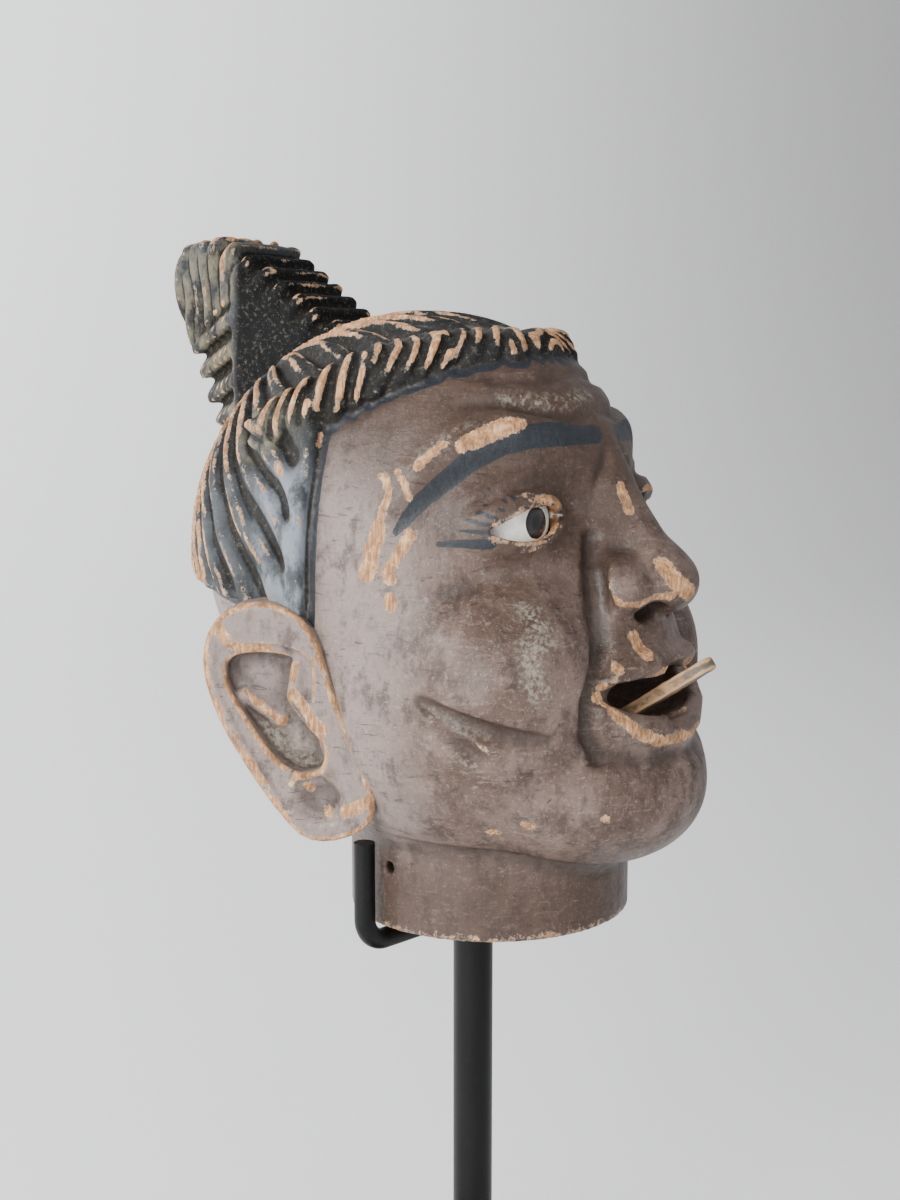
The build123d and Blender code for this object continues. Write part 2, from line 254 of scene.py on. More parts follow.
def wobble(points, size, seed):
    """Smooth value noise in -1..1, one value per point."""
    rng = np.random.default_rng(seed)
    table = rng.uniform(-1, 1, (WOBBLE_CELLS,) * 3).astype(np.float32)
    g = np.asarray(points) / size + WOBBLE_SHIFT
    cell = np.floor(g).astype(int)
    part = g - cell
    part = part * part * (3 - 2 * part)
    return sum(share * table[tuple(i % WOBBLE_CELLS for i in corner)] for corner,
               share in corners(cell, part))


# ---------------------------------------------------------------- the head
# Heights are above the neck rim; -Y is forward; features are given on the right side (-X).

HAIR_PROUD = 3.0             # the hair stands this far off the skull
HAIR_LOCKS = 40
SKULL = ((0, 11, 70), (41, 44.5, 43.5))
KNOT_BASE = np.array([0.0, 46.0, 101.0])     # the locks run out from here
KNOT_AXIS = np.array([0.0, 0.57, 0.82])
BAND = [
    (0, -13.5, 107.5), (-10, -11.5, 107.8), (-19, -5, 106.8), (-27, 5, 104), (-32, 14, 98.5), (-34, 24, 94)]
BAND_R = [5.0, 5.2, 5.4, 5.6, 5.6, 4.6]
BROW = [
    (-5, -24, 91.5), (-13, -22.2, 92.5), (-20, -18.2, 92.5), (-27, -13.2, 90.5), (-33, -8, 86),
    (-36.5, -3.5, 80)]
BROW_R = [3.8, 4.8, 5.1, 4.7, 3.4, 1.8]
EYE_HALF_W, EYE_HIGH, EYE_DEEP = 9.5, 3.1, 2.8
EYE_LOOK = 20.0              # degrees that each eye opening is turned outwards
EYE_OUTWARD = -0.2           # middle of the eye opening, outwards from the middle of the ball
EYE_SLOPE = 0.10             # the outer corner is lower than the inner one
EYE_FLOOR = 5.4              # the corners beside the ball are cut this far out from its middle


def eye_frame(side):
    """Centre of an eye and the directions across, up and out of its opening."""
    look = math.radians(EYE_LOOK)
    out = np.array([side * math.sin(look), -math.cos(look), 0])
    across = np.array([math.cos(look), side * math.sin(look), 0])
    return EYE * (side, 1, 1) + across * side * EYE_OUTWARD, across, out


def almond(side, grow, depth):
    """Eye opening, grown by a margin, as a form along the direction it looks."""
    centre, across, out = eye_frame(side)

    def distance(x, y, z):
        a = (x - centre[0]) * across[0] + (y - centre[1]) * across[1]
        c = (x - centre[0]) * out[0] + (y - centre[1]) * out[1]
        b = z - centre[2] + EYE_SLOPE * side * a
        t = np.clip(np.abs(a) / (EYE_HALF_W + grow), 0, 1.2)
        half = np.where(b > 0, EYE_HIGH + grow, EYE_DEEP + grow) * (1 - t * t)
        return np.maximum((np.abs(b) - half) * 0.8, np.maximum(depth[0] - c, c - depth[1]))

    return Form(centre - 15, centre + 15, distance)


def almond_line(side, grow, lift, steps=15):
    """Points along the edge of the eye opening, for its raised rim."""
    centre, across, out = eye_frame(side)
    upper, lower = [], []
    for i in range(steps):
        t = -1 + 2 * i / (steps - 1)
        a = t * (EYE_HALF_W + grow)
        for line, half in ((upper, EYE_HIGH + grow), (lower, -EYE_DEEP - grow)):
            b = half * (1 - t * t)
            depth = math.sqrt(max((EYE_R + lift) ** 2 - a * a - b * b, 9))
            line.append(centre + across * a + out * depth + np.array([0, 0, b - EYE_SLOPE * side * a]))
    return upper, lower


def neck_form(x, y, z):
    return np.maximum(np.hypot(x, y - NECK_Y) - NECK_R, np.maximum(-z + 0 * x, z - 40))


def add_face(clay):
    clay.add(ellipsoid(*SKULL))
    clay.add(ellipsoid((0, -5, 40), (41, 38, 31)), 14)
    clay.add(ellipsoid((0, -3, 86), (30, 24, 25.5)), 8)
    clay.add(ellipsoid((-21.4, -18.4, 48.5), (20.3, 18.4, 20)), 5, both=True)
    clay.add(ellipsoid((0, -28, 28), (25, 18, 16)), 8)
    clay.add(ellipsoid((0, -36.5, 26.5), (13, 10, 9.5)), 6)
    clay.add(ellipsoid((0, -26, 55), (15, 14.5, 12)), 6)
    clay.add(stroke(BROW, BROW_R), 2.2, both=True)
    clay.cut(ellipsoid((-19, -37.5, 81), (13.5, 13.5, 8.5)), 4, both=True)
    clay.add(ellipsoid((-EYE[0], EYE[1] - 0.3, EYE[2]), (12.5, 10.9, 9.6)), 3, both=True)


def add_nose(clay):
    clay.add(stroke([(0, -24, 90), (0, -30.4, 80), (0, -36, 70)], [4.4, 5.0, 6.2]), 4)
    clay.add(ellipsoid((0, -39.6, 66.8), (8.2, 7.2, 6.2), 20), 3)
    clay.add(ellipsoid((-9.4, -35.6, 66.4), (6.4, 6.4, 5.0), 15), 2.2, both=True)
    clay.cut(ellipsoid((-4.8, -39, 61.6), (3.0, 4.4, 2.4)), 1.2, both=True)


def carve(clay, points, radius, depth, k=0.8, both=True):
    """A gouged line that follows the surface, `depth` below it."""
    line = clay.snap(points)
    line = line + clay.gradient(line) * (radius - depth)
    ends = np.linspace(0, 1, len(line))
    radii = radius * (0.35 + 0.65 * np.sin(np.pi * np.clip(ends * 0.86 + 0.07, 0, 1)) ** 0.6)
    clay.cut(stroke(list(line), list(radii)), k, both)


def add_lines(clay):
    """Wrinkles, folds and creases."""
    carve(clay, [(0, -21.5, 103.6), (-5, -20.5, 102.8), (-11, -19, 101.8), (-16, -15.5, 101.6),
                 (-20, -10.5, 102)], 2.0, 0.9)
    carve(clay, [(0, -27.5, 98), (-8, -28, 97), (-14, -25, 98.2), (-20, -17, 98.4), (-25, -10, 97)], 2.2,
          1.1)
    carve(clay, [(-2.5, -31, 93), (-4.5, -30, 88), (-7, -29, 84)], 1.8, 0.8)
    # the cheek's upper edge and the fold from nose to mouth corner
    carve(clay, [(-36, -14, 66), (-32, -21, 69), (-25, -27.5, 70), (-18, -30.5, 68.5)], 2.6, 0.9, 2.0)
    carve(clay, [(-10.4, -30.8, 75), (-14, -32.9, 70), (-15.4, -34.5, 64), (-17, -36.6, 57.5),
                 (-20.6, -38, 52),
                 (-23.6, -37.4, 47), (-23.6, -37, 42), (-21, -37, 37)], 2.8, 3.0, 1.2)
    # crow's feet below the cheek
    carve(clay, [(-42, -13, 48), (-41.5, -19, 45.5), (-39.5, -26, 43), (-36, -31, 41.5), (-32, -34, 41)],
          2.3, 2.3)
    carve(clay, [(-42, -17, 43.5), (-40, -21.5, 40), (-38.5, -24.5, 37.5)], 2.0, 1.9)
    # lid crease and the lines below the chin
    carve(clay, [(-33, -17, 80), (-29, -23, 85), (-22, -27.5, 86.6), (-14, -29, 84.5)], 1.3, 0.7)
    carve(clay, [(-19, -38, 37), (-12, -42, 35), (0, -44, 34.2)], 2.4, 1.0, 2.0)
    carve(clay, [(-30, -2, 19.5), (-28, -12, 18.5), (-23, -21, 17), (-16, -29, 16), (0, -36, 15)], 1.8,
          0.6, 1.4)


def add_mouth(clay):
    clay.add(stroke([(-23, -34, 49), (-15, -38.5, 50.8), (-7, -40.8, 52), (0, -41, 51.6)],
                    [1.4, 2.0, 2.7, 2.5]), 1.6, both=True)
    clay.add(stroke([(-23, -34.5, 47), (-15, -40, 41.8), (-7, -42.4, 39), (0, -43.2, 38.2)],
                    [1.4, 2.3, 2.7, 2.9]), 1.6, both=True)
    clay.cut(stroke([(-22, -38, 48.2), (-11, -40, 46.9), (0, -40, 46)], [1.2, 3.1, 4.0]), 0.7, both=True)
    clay.cut(stroke([(-21, -48, 48.2), (-9, -50, 46.6), (0, -50, 45.8)], [0.8, 2.7, 3.8]), 0.7, both=True)
    clay.cut(ellipsoid((0, -33, 45.5), (17, 12, 6)), 0.8)


def tongue_swing(x, y, z):
    """The space that the tongue passes through in front of its pivot, with clearance."""
    out, up = TONGUE_PIVOT[1] - y, z - TONGUE_PIVOT[2]
    reach, angle = np.hypot(out, up), np.arctan2(up, out)
    nearest = np.clip(angle, math.radians(TONGUE_RISE - TONGUE_DOWN), math.radians(TONGUE_RISE + TONGUE_UP))
    gap = reach * np.sin(np.minimum(np.abs(angle - nearest), math.pi / 2)) - TONGUE_HALF_T
    return np.maximum(np.maximum(gap, reach - TONGUE_OUT), np.abs(x) - TONGUE_HALF_W) - TONGUE_CLEAR


def add_hollow(clay):
    """Finger bore, inside of the skull, eye sockets and the tongue's slot."""
    clay.cut(Form((-22, -26, -3), (22, 18, BORE_TOP),
                  lambda x, y, z: np.maximum(np.hypot(x, y - NECK_Y) - BORE_R, z - BORE_TOP)), 0.6)
    clay.cut(ellipsoid(*CAVITY), 2)
    for side in SIDES:
        clay.cut(ellipsoid(EYE * (side, 1, 1), (EYE_R + 0.35,) * 3))
        clay.cut(almond(side, 0.0, (EYE_FLOOR, 14)), 0.3)
    slot_high = Form((-7, -34, 18), (7, -12, 50), lambda x, y, z: np.maximum(
        np.maximum(np.abs(x) - 5, np.abs(y + 22) - 12), np.abs(z - 35) - 15))
    clay.cut(slot_high, 0.5)
    clay.cut(Form((-5, -60, 30), (5, -22, 62), tongue_swing), 0.4)
    chase = Form((-30, -25, 58), (30, 12, 76), lambda x, y, z: np.maximum(
        np.maximum(np.abs(x) - 25.5, np.abs(y + 5) - 16), np.abs(z - 67.2) - 5))
    clay.cut(chase, 0.5)
    clay.cut(stroke([(-30, 3, 12), (-15, 3, 12)], 1.2), 0.3)


def knot_angle(x, y, z):
    """Angle about the topknot's axis: the combed hair runs along lines of equal angle."""
    px, py, pz = x - KNOT_BASE[0], y - KNOT_BASE[1], z - KNOT_BASE[2]
    side = py * KNOT_AXIS[2] - pz * KNOT_AXIS[1]
    return np.arctan2(px + 0 * side, side)


def smooth_step(value, low, high):
    t = np.clip((value - low) / (high - low), 0, 1)
    return t * t * (3 - 2 * t)


def gouges(phase):
    """Rounded ridges with narrow deep valleys between them, 1 in the valley."""
    wave = np.abs(phase - np.round(phase)) * 2
    return 1 - smooth_step(wave, 0.0, 0.8)


def hair_edge(x, y, z):
    """Negative where the hair is: behind the temple step, above the hairline, above the ears."""
    ax = np.abs(x)
    line = 101.2 - 0.33 * y - 0.004 * (ax - 12) ** 2 + 1.2
    front = line - z
    step = 10.5 + 0.0028 * (z - 76) ** 2 - y
    side = np.maximum(step, 61.0 + 0.10 * (y - 12) - z)
    return np.minimum(front + 0 * side, side + 0 * front)


def add_hair(clay):
    where, (x, y, z) = clay.window(Form((-50, -30, 40), (50, 66, 120), None), 0)
    cap = ellipsoid((SKULL[0][0], SKULL[0][1] + 0.4, SKULL[0][2]),
                    [r + HAIR_PROUD for r in SKULL[1]]).distance(x, y, z)
    points = np.stack(np.broadcast_arrays(x, y, z), -1)
    near = np.abs(cap) < 7
    grain = np.zeros(cap.shape, np.float32)
    p = points[near]
    angle = knot_angle(p[:, 0], p[:, 1], p[:, 2]) + 0.05 * wobble(p, 14, 3)
    away = np.linalg.norm(p - KNOT_BASE, axis=1)
    main = gouges(angle * HAIR_LOCKS / (2 * math.pi) + 0.25 * wobble(p, 9, 5))
    fine = gouges(angle * HAIR_LOCKS * 2.6 / (2 * math.pi) + 0.4 * wobble(p, 6, 6))
    depth = (1.0 + 0.45 * wobble(p, 12, 8)) * smooth_step(away, 13, 22)
    tips = 11.5 + 1.5 * wobble(p, 5, 9)
    step_near = smooth_step(p[:, 1], tips, tips + 6.0) + smooth_step(p[:, 2], 86, 97)
    step_near = step_near * smooth_step(p[:, 2] + 2.5 * wobble(p, 6, 10), 57, 66)
    grain[near] = (2.7 * main + 0.35 * fine) * np.clip(depth, 0.1, 1.5) * np.clip(step_near, 0.14, 1)
    edge = hair_edge(x, y, z)
    cap = smooth_max(cap + grain, edge, 1.2)
    clay.hair[where] = np.minimum(clay.hair[where], cap)
    clay.d[where] = smooth_min(clay.d[where], cap, 0.35)


def band_place(points):
    """For each point: how far along the band it lies, and its height across the band's axis."""
    line, q = np.array(BAND, float), on_right(points)
    best, along, across = np.full(len(q), 1e9), np.zeros(len(q)), np.zeros(len(q))
    start = 0.0
    for a, b in zip(line, line[1:]):
        ab = b - a
        length = np.linalg.norm(ab)
        t = np.clip(((q - a) @ ab) / length ** 2, 0, 1)
        off = q - a - t[:, None] * ab
        d = np.linalg.norm(off, axis=1)
        better = d < best
        best = np.where(better, d, best)
        along = np.where(better, start + t * length, along)
        across = np.where(better, off[:, 2], across)
        start += length
    return best, along, across


def add_band(clay):
    form = stroke(BAND, BAND_R)
    for f in (form, mirrored(form)):
        where, (x, y, z) = clay.window(f, 5)
        d = f.distance(x, y, z)
        points = np.stack(np.broadcast_arrays(x, y, z), -1)
        near = np.abs(d) < 4
        p = points[near]
        _, along, across = band_place(p)
        phase = (along + 0.8 * across) / 4.0 + 0.5 * wobble(p, 7, 21)
        cutting = gouges(phase) * np.clip(0.9 + 0.7 * wobble(p, 6, 22), 0.25, 1.6)
        d[near] += 1.7 * cutting
        clay.hair[where] = np.minimum(clay.hair[where], d)
        clay.d[where] = smooth_min(clay.d[where], d, 1.0)


def sculpt_head():
    clay = Clay((-52, -58, -3), (52, 66, 120), FINE)
    add_face(clay)
    add_nose(clay)
    add_mouth(clay)
    add_lines(clay)
    for side in SIDES:
        for line in almond_line(side, 0.7, 1.1):
            clay.add(stroke(line, 0.8), 0.7)
    add_hair(clay)
    add_band(clay)
    x, y, z = clay.grid()
    clay.d = smooth_min(clay.d, neck_form(x, y, z).astype(np.float32), 1.6)
    clay.keep(lambda x, y, z: 0 * x + 0 * y - z, 0.4)
    add_hollow(clay)
    return clay


# ---------------------------------------------------------------- ears and topknot

EAR_ROOT = np.array([-41.5, 5.0, 0.0])
EAR_FLARE = 24.0             # degrees that the ear stands off the head
EAR_OUTLINE = [
    (3, 58), (6.5, 62), (12, 64.2), (18.5, 63.2), (22.6, 59.5), (24.2, 54), (23.6, 48.5), (20.8, 41),
    (15, 31.6), (9.5, 24.2), (5.5, 20.5), (1, 20.2), (-4, 21.8), (-7.2, 24.6), (-7.4, 30), (-4.6, 36.5),
    (-1.8, 43), (0.6, 50)]


def ear_directions():
    """Backwards along the ear, and out of its face."""
    flare = math.radians(EAR_FLARE)
    return (np.array([-math.sin(flare), math.cos(flare), 0]),
            np.array([-math.cos(flare), -math.sin(flare), 0]))


def on_ear(u, height, out=0.0):
    along, face_way = ear_directions()
    return EAR_ROOT + along * u + face_way * out + np.array([0, 0, height])


def outline_distance(u, v, outline):
    """Signed distance to a closed outline in a plane."""
    best = np.full(u.shape, 1e9, np.float32)
    inside = np.zeros(u.shape, bool)
    for (ax, ay), (bx, by) in zip(outline, outline[1:] + outline[:1]):
        ex, ey = bx - ax, by - ay
        t = np.clip(((u - ax) * ex + (v - ay) * ey) / (ex * ex + ey * ey), 0, 1)
        best = np.minimum(best, (u - ax - t * ex) ** 2 + (v - ay - t * ey) ** 2)
        crosses = ((ay > v) != (by > v)) & (u < (v - ay) * ex / (by - ay if by != ay else 1e-9) + ax)
        inside ^= crosses
    return np.sqrt(best) * np.where(inside, -1, 1)


def rounded(outline, rounds=2):
    """Corner cutting, which turns an outline into a smooth curve."""
    for _ in range(rounds):
        closed = outline + outline[:1]
        outline = [tuple(np.array(a) * (1 - t) + np.array(b) * t) for a, b in zip(closed, closed[1:])
                   for t in (0.25, 0.75)]
    return outline


def sculpt_ear():
    """The right ear; the left one is its mirror image."""
    clay = Clay((-58, -8, 14), (-28, 38, 70), FINER)
    x, y, z = clay.grid()
    along, face_way = ear_directions()
    u = (x - EAR_ROOT[0]) * along[0] + (y - EAR_ROOT[1]) * along[1] + 0 * z
    w = (x - EAR_ROOT[0]) * face_way[0] + (y - EAR_ROOT[1]) * face_way[1] + 0 * z
    v = z + 0 * u
    edge = outline_distance(u, v, rounded(EAR_OUTLINE, 1))
    slab = smooth_max(edge, np.maximum(w - 0.4 + 0.035 * np.maximum(u, 0), -w - 11), 1.2)
    clay.d = slab.astype(np.float32)
    # the helix: the floor inside the rim is sunk, and the rim is left standing
    inner_step = [(5.5, 56), (19.5, 56.5), (22.2, 53), (20.6, 46.5), (16.5, 38.5), (11, 30), (7.5, 31),
                  (3, 50)]
    sink = smooth_max(outline_distance(u, v, rounded(inner_step)), 0.0 - 0.7 - w, 0.6)
    clay.d = smooth_max(clay.d, -sink.astype(np.float32), 0.6)
    concha = [(5.4, 53.6), (12.5, 55), (19.4, 54), (20, 49.5), (16.6, 43.6), (13, 38), (9.4, 33.8),
              (5, 32.6), (1.8, 34.2), (1.6, 38.5), (6.6, 43), (8.6, 48)]
    deep = smooth_max(outline_distance(u, v, rounded(concha)), -4.6 + 0.10 * (v - 44) - w, 1.0)
    clay.d = smooth_max(clay.d, -deep.astype(np.float32), 0.7)
    # a step across the concha and the tragus at its front
    clay.add(stroke([on_ear(6.6, 52.5, -1.6), on_ear(6.8, 47, -1.4), on_ear(3.4, 42.6, -1.4)],
                    [1.2, 1.8, 1.5]), 0.8)
    clay.add(stroke([on_ear(17, 46.5, -4.0), on_ear(10.5, 42.0, -4.8)], [1.3, 1.5]), 1.2)
    clay.cut(stroke([on_ear(15.8, 39.4, 0.2), on_ear(12.4, 33.4, 0.1), on_ear(8.4, 27, 0.4)],
                    [0.6, 1.0, 0.7]), 0.4)
    # the lobe is cut square, with a shallow hollow above its lower edge
    clay.cut(ellipsoid(on_ear(3.0, 28.5, 2.2), (5.0, 5.0, 4.6)), 1.5)
    clay.cut(stroke([on_ear(8.6, 29.5, 0.6), on_ear(4, 25.2, 0.7), on_ear(-1.5, 25.4, 0.7)],
                    [0.9, 1.0, 0.7]), 0.9)
    return clay


KNOT_FACES = [
    ((0, 24.5, 113.0), (0, -0.574, 0.819)),
    ((0, 55, 131.6), (0, 0.10, 0.995)),
    ((0, 71, 124.5), (0, 0.86, 0.51)),
    ((0, 71, 120), (0, 0.893, -0.449)),
    ((-13.5, 47, 110), (-0.98, -0.15, 0.10)),
    ((-13.5, 48, 117), (-0.93, 0.36, -0.05)),
    ((0, 60, 93), (0, 0.1, -1.0)),
    ((-12, 30, 110), (-0.86, -0.5, 0.2)),
]


def sculpt_knot():
    """A bundle of hair folded up and tied: flat cheeks, ribs down its front, strands and ties behind."""
    clay = Clay((-20, 12, 88), (20, 76, 137), FINER)
    x, y, z = clay.grid()
    ax = np.sqrt(x * x + 0.05)
    body = None
    for (px, py, pz), n in KNOT_FACES:
        n = np.array(n) / np.linalg.norm(n)
        d = ((-ax - px) * n[0] + (y - py) * n[1] + (z - pz) * n[2]).astype(np.float32)
        body = d if body is None else smooth_max(body, d, 2.2)
    # distance along the bundle, measured from the head, and its lean
    run = (y - 40) * 0.50 + (z - 100) * 0.866 + 0 * x
    front = (y - 24.5) * 0.819 + (z - 113.0) * 0.574 + 0 * x
    facing = ((y - 24.5) * -0.574 + (z - 113.0) * 0.819) + 0 * x
    ribs = np.abs(front / 4.6 - np.round(front / 4.6)) * 2
    rib_depth = 1.9 * (1 - smooth_step(ribs, 0.0, 0.8)) * smooth_step(facing, -8, -1)
    body = body + rib_depth.astype(np.float32)
    points = np.stack(np.broadcast_arrays(x, y, z), -1)
    near = np.abs(body) < 4
    p = points[near]
    behind = smooth_step(p[:, 1] - 0.25 * (13.5 - np.abs(p[:, 0])), 48.5, 50.5)
    strand_run = (p[:, 1] * 0.8 - np.abs(p[:, 0]) * 0.6) / 3.6 + 0.3 * wobble(p, 7, 31)
    wraps = (run[near] - 3.0) / 5.4 + 0.06 * np.abs(p[:, 0])
    low = 1 - smooth_step(run[near], 20.0, 21.5)
    tied = 2.1 * gouges(wraps) + 0.35 * gouges(strand_run * 1.7)
    cut = behind * ((1 - low) * 1.3 * gouges(strand_run) + low * tied)
    grain = gouges((p[:, 1] * 0.8 - p[:, 2] * 0.5) / 2.3 + 0.4 * wobble(p, 5, 33))
    side_grain = (1 - behind) * 0.22 * grain
    body[near] += (cut + side_grain).astype(np.float32)
    clay.d = body
    clay.cut(ellipsoid((-27, 38, 116), (15, 22, 18)), 3, both=True)
    clay.cut(stroke([(-30, 27.5, 117.6), (-10, 27.5, 117.6)], 0.6), 0.2)
    return clay


# ---------------------------------------------------------------- painted and worn marks
# Lines of points on the skin and half their width.  `RIGHT` marks are on the side in view only.
# Their places were picked in the photo and carried onto the skin by rays, outside this script.

BROW_INK = [
    ([(-37, -5.5, 76.5), (-36.5, -7.2, 78.9), (-35.2, -9.5, 82.1), (-33, -13.2, 85.6), (-30.7, -17.1, 89.1),
      (-26.3, -21.2, 92.3), (-21.4, -24.7, 93.7), (-13.3, -28.1, 94), (-5, -29, 93.6)],
     [0.7, 1.1, 1.5, 1.8, 2.1, 2.5, 2.7, 2.6, 2])]
LASHES = [
    ([(-27.7, -22, 84.2), (-28.2, -25.2, 82.3)], 0.35),
    ([(-30.5, -19.6, 81.7), (-30.3, -23.4, 80.8)], 0.35), ([(-32.2, -19, 80.6), (-31.4, -23, 79.4)], 0.4),
    ([(-33.2, -16.8, 79.4), (-32, -21.9, 78.2)], 0.35), ([(-33.9, -15.4, 77.4), (-32.1, -21.7, 77)], 0.4),
    ([(-34.4, -12.8, 74.8), (-31.6, -21.6, 75)], [0.5, 1.1]),
    ([(-29.4, -20, 84.4), (-29.4, -24, 82)], 0.35), ([(-23.4, -26.6, 83.6), (-21, -28.4, 81.8)], 0.35),
    ([(-26, -23.8, 84.6), (-25.6, -26.2, 83)], 0.3)]
BARE_BOTH = [
    ([(-20.5, -36.4, 49.4), (-16.4, -37.6, 49.4), (-11, -40.5, 50.2), (-6.5, -43.2, 50.8),
      (0, -43.6, 50.6)], 0.8),
    ([(-19.8, -36.8, 47.6), (-18.3, -40.4, 44.2), (-14.5, -42.6, 40.7), (-8.6, -44, 38.4),
      (0, -45.6, 38.4)], 1.2)]
BARE_RIGHT = [
    ([(-36.1, -2.4, 86.4), (-37.6, -4.4, 83.6), (-38.4, -3.6, 79.6)], 0.9),
    ([(-38.5, -3, 77.6), (-39.1, -2, 73.6), (-39.6, -1, 69.2)], 1.5),
    ([(-35.6, -5.2, 87.2), (-36.8, -7.4, 85.1), (-36.5, -8, 82.8)], 0.7),
    ([(-36.5, -8.2, 76.4), (-37.6, -6.4, 72.9), (-38.4, -4.8, 69.9), (-38.4, -5.2, 68.5)], 1.2),
    ([(-38.6, -5.3, 65.2), (-38.6, -5.5, 64)], 1.2), ([(-3.5, -32.9, 83.6), (-3.8, -34.9, 79.3)], 1.1),
    ([(-5.8, -42.6, 70.3), (-5.6, -44.4, 68.2), (-4.4, -45.6, 66.4), (-1.6, -46.3, 64.6)], 1.7),
    ([(-5.4, -44.2, 64.6), (-11, -40.8, 63.6), (-14.2, -38.2, 63.9), (-15.2, -36.7, 64.8)], 0.9),
    ([(-16, -37, 56.5), (-16.5, -38.2, 54.8), (-16.5, -39.2, 52.8)], 1.5),
    ([(-9.6, -39, 57), (-8.6, -40, 55.2), (-9.2, -41.4, 53.9)], 1.4),
    ([(-31, -15.4, 91.8), (-28.9, -17.8, 93.4), (-25.4, -20.4, 95.6), (-22.2, -23.3, 96.7),
      (-19.4, -25.2, 96.9)], [1.3, 2.1, 2.4, 2.2, 1.5]),
    ([(-35, -8.9, 88), (-34, -10, 90), (-32.2, -12.1, 92.1)], 1),
    ([(-32.1, -26.5, 65), (-32.1, -26.6, 64.6)], 0.8), ([(-33.8, -26.9, 63.7), (-33.8, -27, 63.5)], 0.4),
    ([(-40.5, -28.5, 48.8), (-40.9, -27.5, 48)], 0.6), ([(-28.4, -27, 25.1), (-28, -28, 24.8)], 0.8),
    ([(-21.1, -38.7, 25.9), (-20, -39, 25.8)], 0.6), ([(-24.7, -36.8, 33.7), (-24.4, -37, 33.2)], 0.5),
    ([(-30.1, -20.8, 23.3), (-29.6, -22, 23)], 0.8), ([(-35.4, 11.6, 93.4), (-36.4, 11.2, 91.6)], 0.7),
    ([(-26.4, -31.5, 64.5), (-26.8, -33.1, 62.9)], 1)]
DUST_RIGHT = [
    ([(-30.8, -29.4, 64.1), (-30.4, -33, 60.6), (-34.2, -31.7, 58), (-35.7, -33.4, 53.9),
      (-35.4, -34.4, 50.4)], 3),
    ([(-41, -15.6, 46.2), (-40.9, -19, 44.4), (-38.9, -25.7, 42.2), (-34.7, -31.6, 40.7)], 0.9),
    ([(-41.4, -15.5, 41.3), (-40.4, -19.6, 39.3), (-38.4, -23.7, 36.4)], 0.9),
    ([(-26.4, -37.4, 56.3), (-28.6, -37.6, 54), (-30, -37.6, 51.4), (-31, -37.4, 49.3)], 0.5),
    ([(-19.4, -17.6, 99.9), (-14.4, -22, 99.1), (-7.9, -24.7, 99.4), (0, -24.8, 100.6)], 1),
    ([(-35.6, -7.4, 86.6), (-33.6, -9.4, 91.4), (-29.4, -14.6, 95.6), (-25.4, -18.8, 98)], 0.7),
    ([(-40.6, 9.6, 61.4), (-40.4, 8.4, 57.9), (-40.6, 6.3, 52.6), (-40.7, 4.4, 48)], 0.9)]
CRACK = [([(2.4, -31.4, -1), (1.8, -31.4, 5), (2.3, -31.4, 10), (1.9, -31.4, 14)], 0.35)]
EAR_BARE = [
    ([(-45.5, 11.6, 48.4), (-44.7, 9.9, 45.7), (-43.5, 8.2, 42.6), (-42.7, 7, 40.9)], 1.4),
    ([(-49.6, 24.4, 59.4), (-48.2, 22.8, 56.4), (-46.6, 19.5, 55.6), (-46.2, 15.7, 55.2)], 1.2),
    ([(-42, 11.2, 31.4), (-41.4, 8.4, 28), (-41, 6.2, 25.6)], 1),
    ([(-41, 3.2, 26), (-39.9, 0.2, 27.4), (-39.2, -1.6, 28.8)], 1.2),
    ([(-49.6, 27.6, 52), (-48, 26, 45), (-45.6, 22.6, 38), (-43.4, 17.4, 31), (-42, 12.6, 26)], 1)]
EAR_DUST = [([(-41.6, 17.4, 41), (-40.8, 16.3, 37.4), (-39.6, 14, 35.2)], 3)]
EYE_RIM_BARE = 1.15          # half the width of the bare rim round the right eye


# Values at each vertex: hair or skin, bare wood, ink, dust and the painted sheen on the smooth hair,
# painted white of the eye, how proud the vertex is (for worn edges and for painted shade in narrow
# grooves), how deep it lies in a hollow (for painted shade), and whether the coat is paler or darker there.
PAINT_FIELDS = ("hair", "bare", "ink", "dust", "white", "wear", "hollow", "pale", "dark")


def marked(points, marks, soft=0.9, both=True):
    """1 inside the marks, fading to 0 at `soft` outside them."""
    value = np.zeros(len(points))
    q = on_right(points) if both else points
    for line, radius in marks:
        form = stroke(line, radius)
        near = np.all((q > form.low - soft) & (q < form.high + soft), axis=1)
        d = form.distance(q[near, 0], q[near, 1], q[near, 2])
        value[near] = np.maximum(value[near], 1 - smooth_step(d, -soft, soft))
    return value


def relief(clay, points, reach):
    """How far the surface stands out of (positive) or sinks below its surroundings within `reach`."""
    steps = max(1, round(reach / clay.step))
    return clay.sample(points, blurred(np.clip(clay.d, -6, 6), steps)) / reach


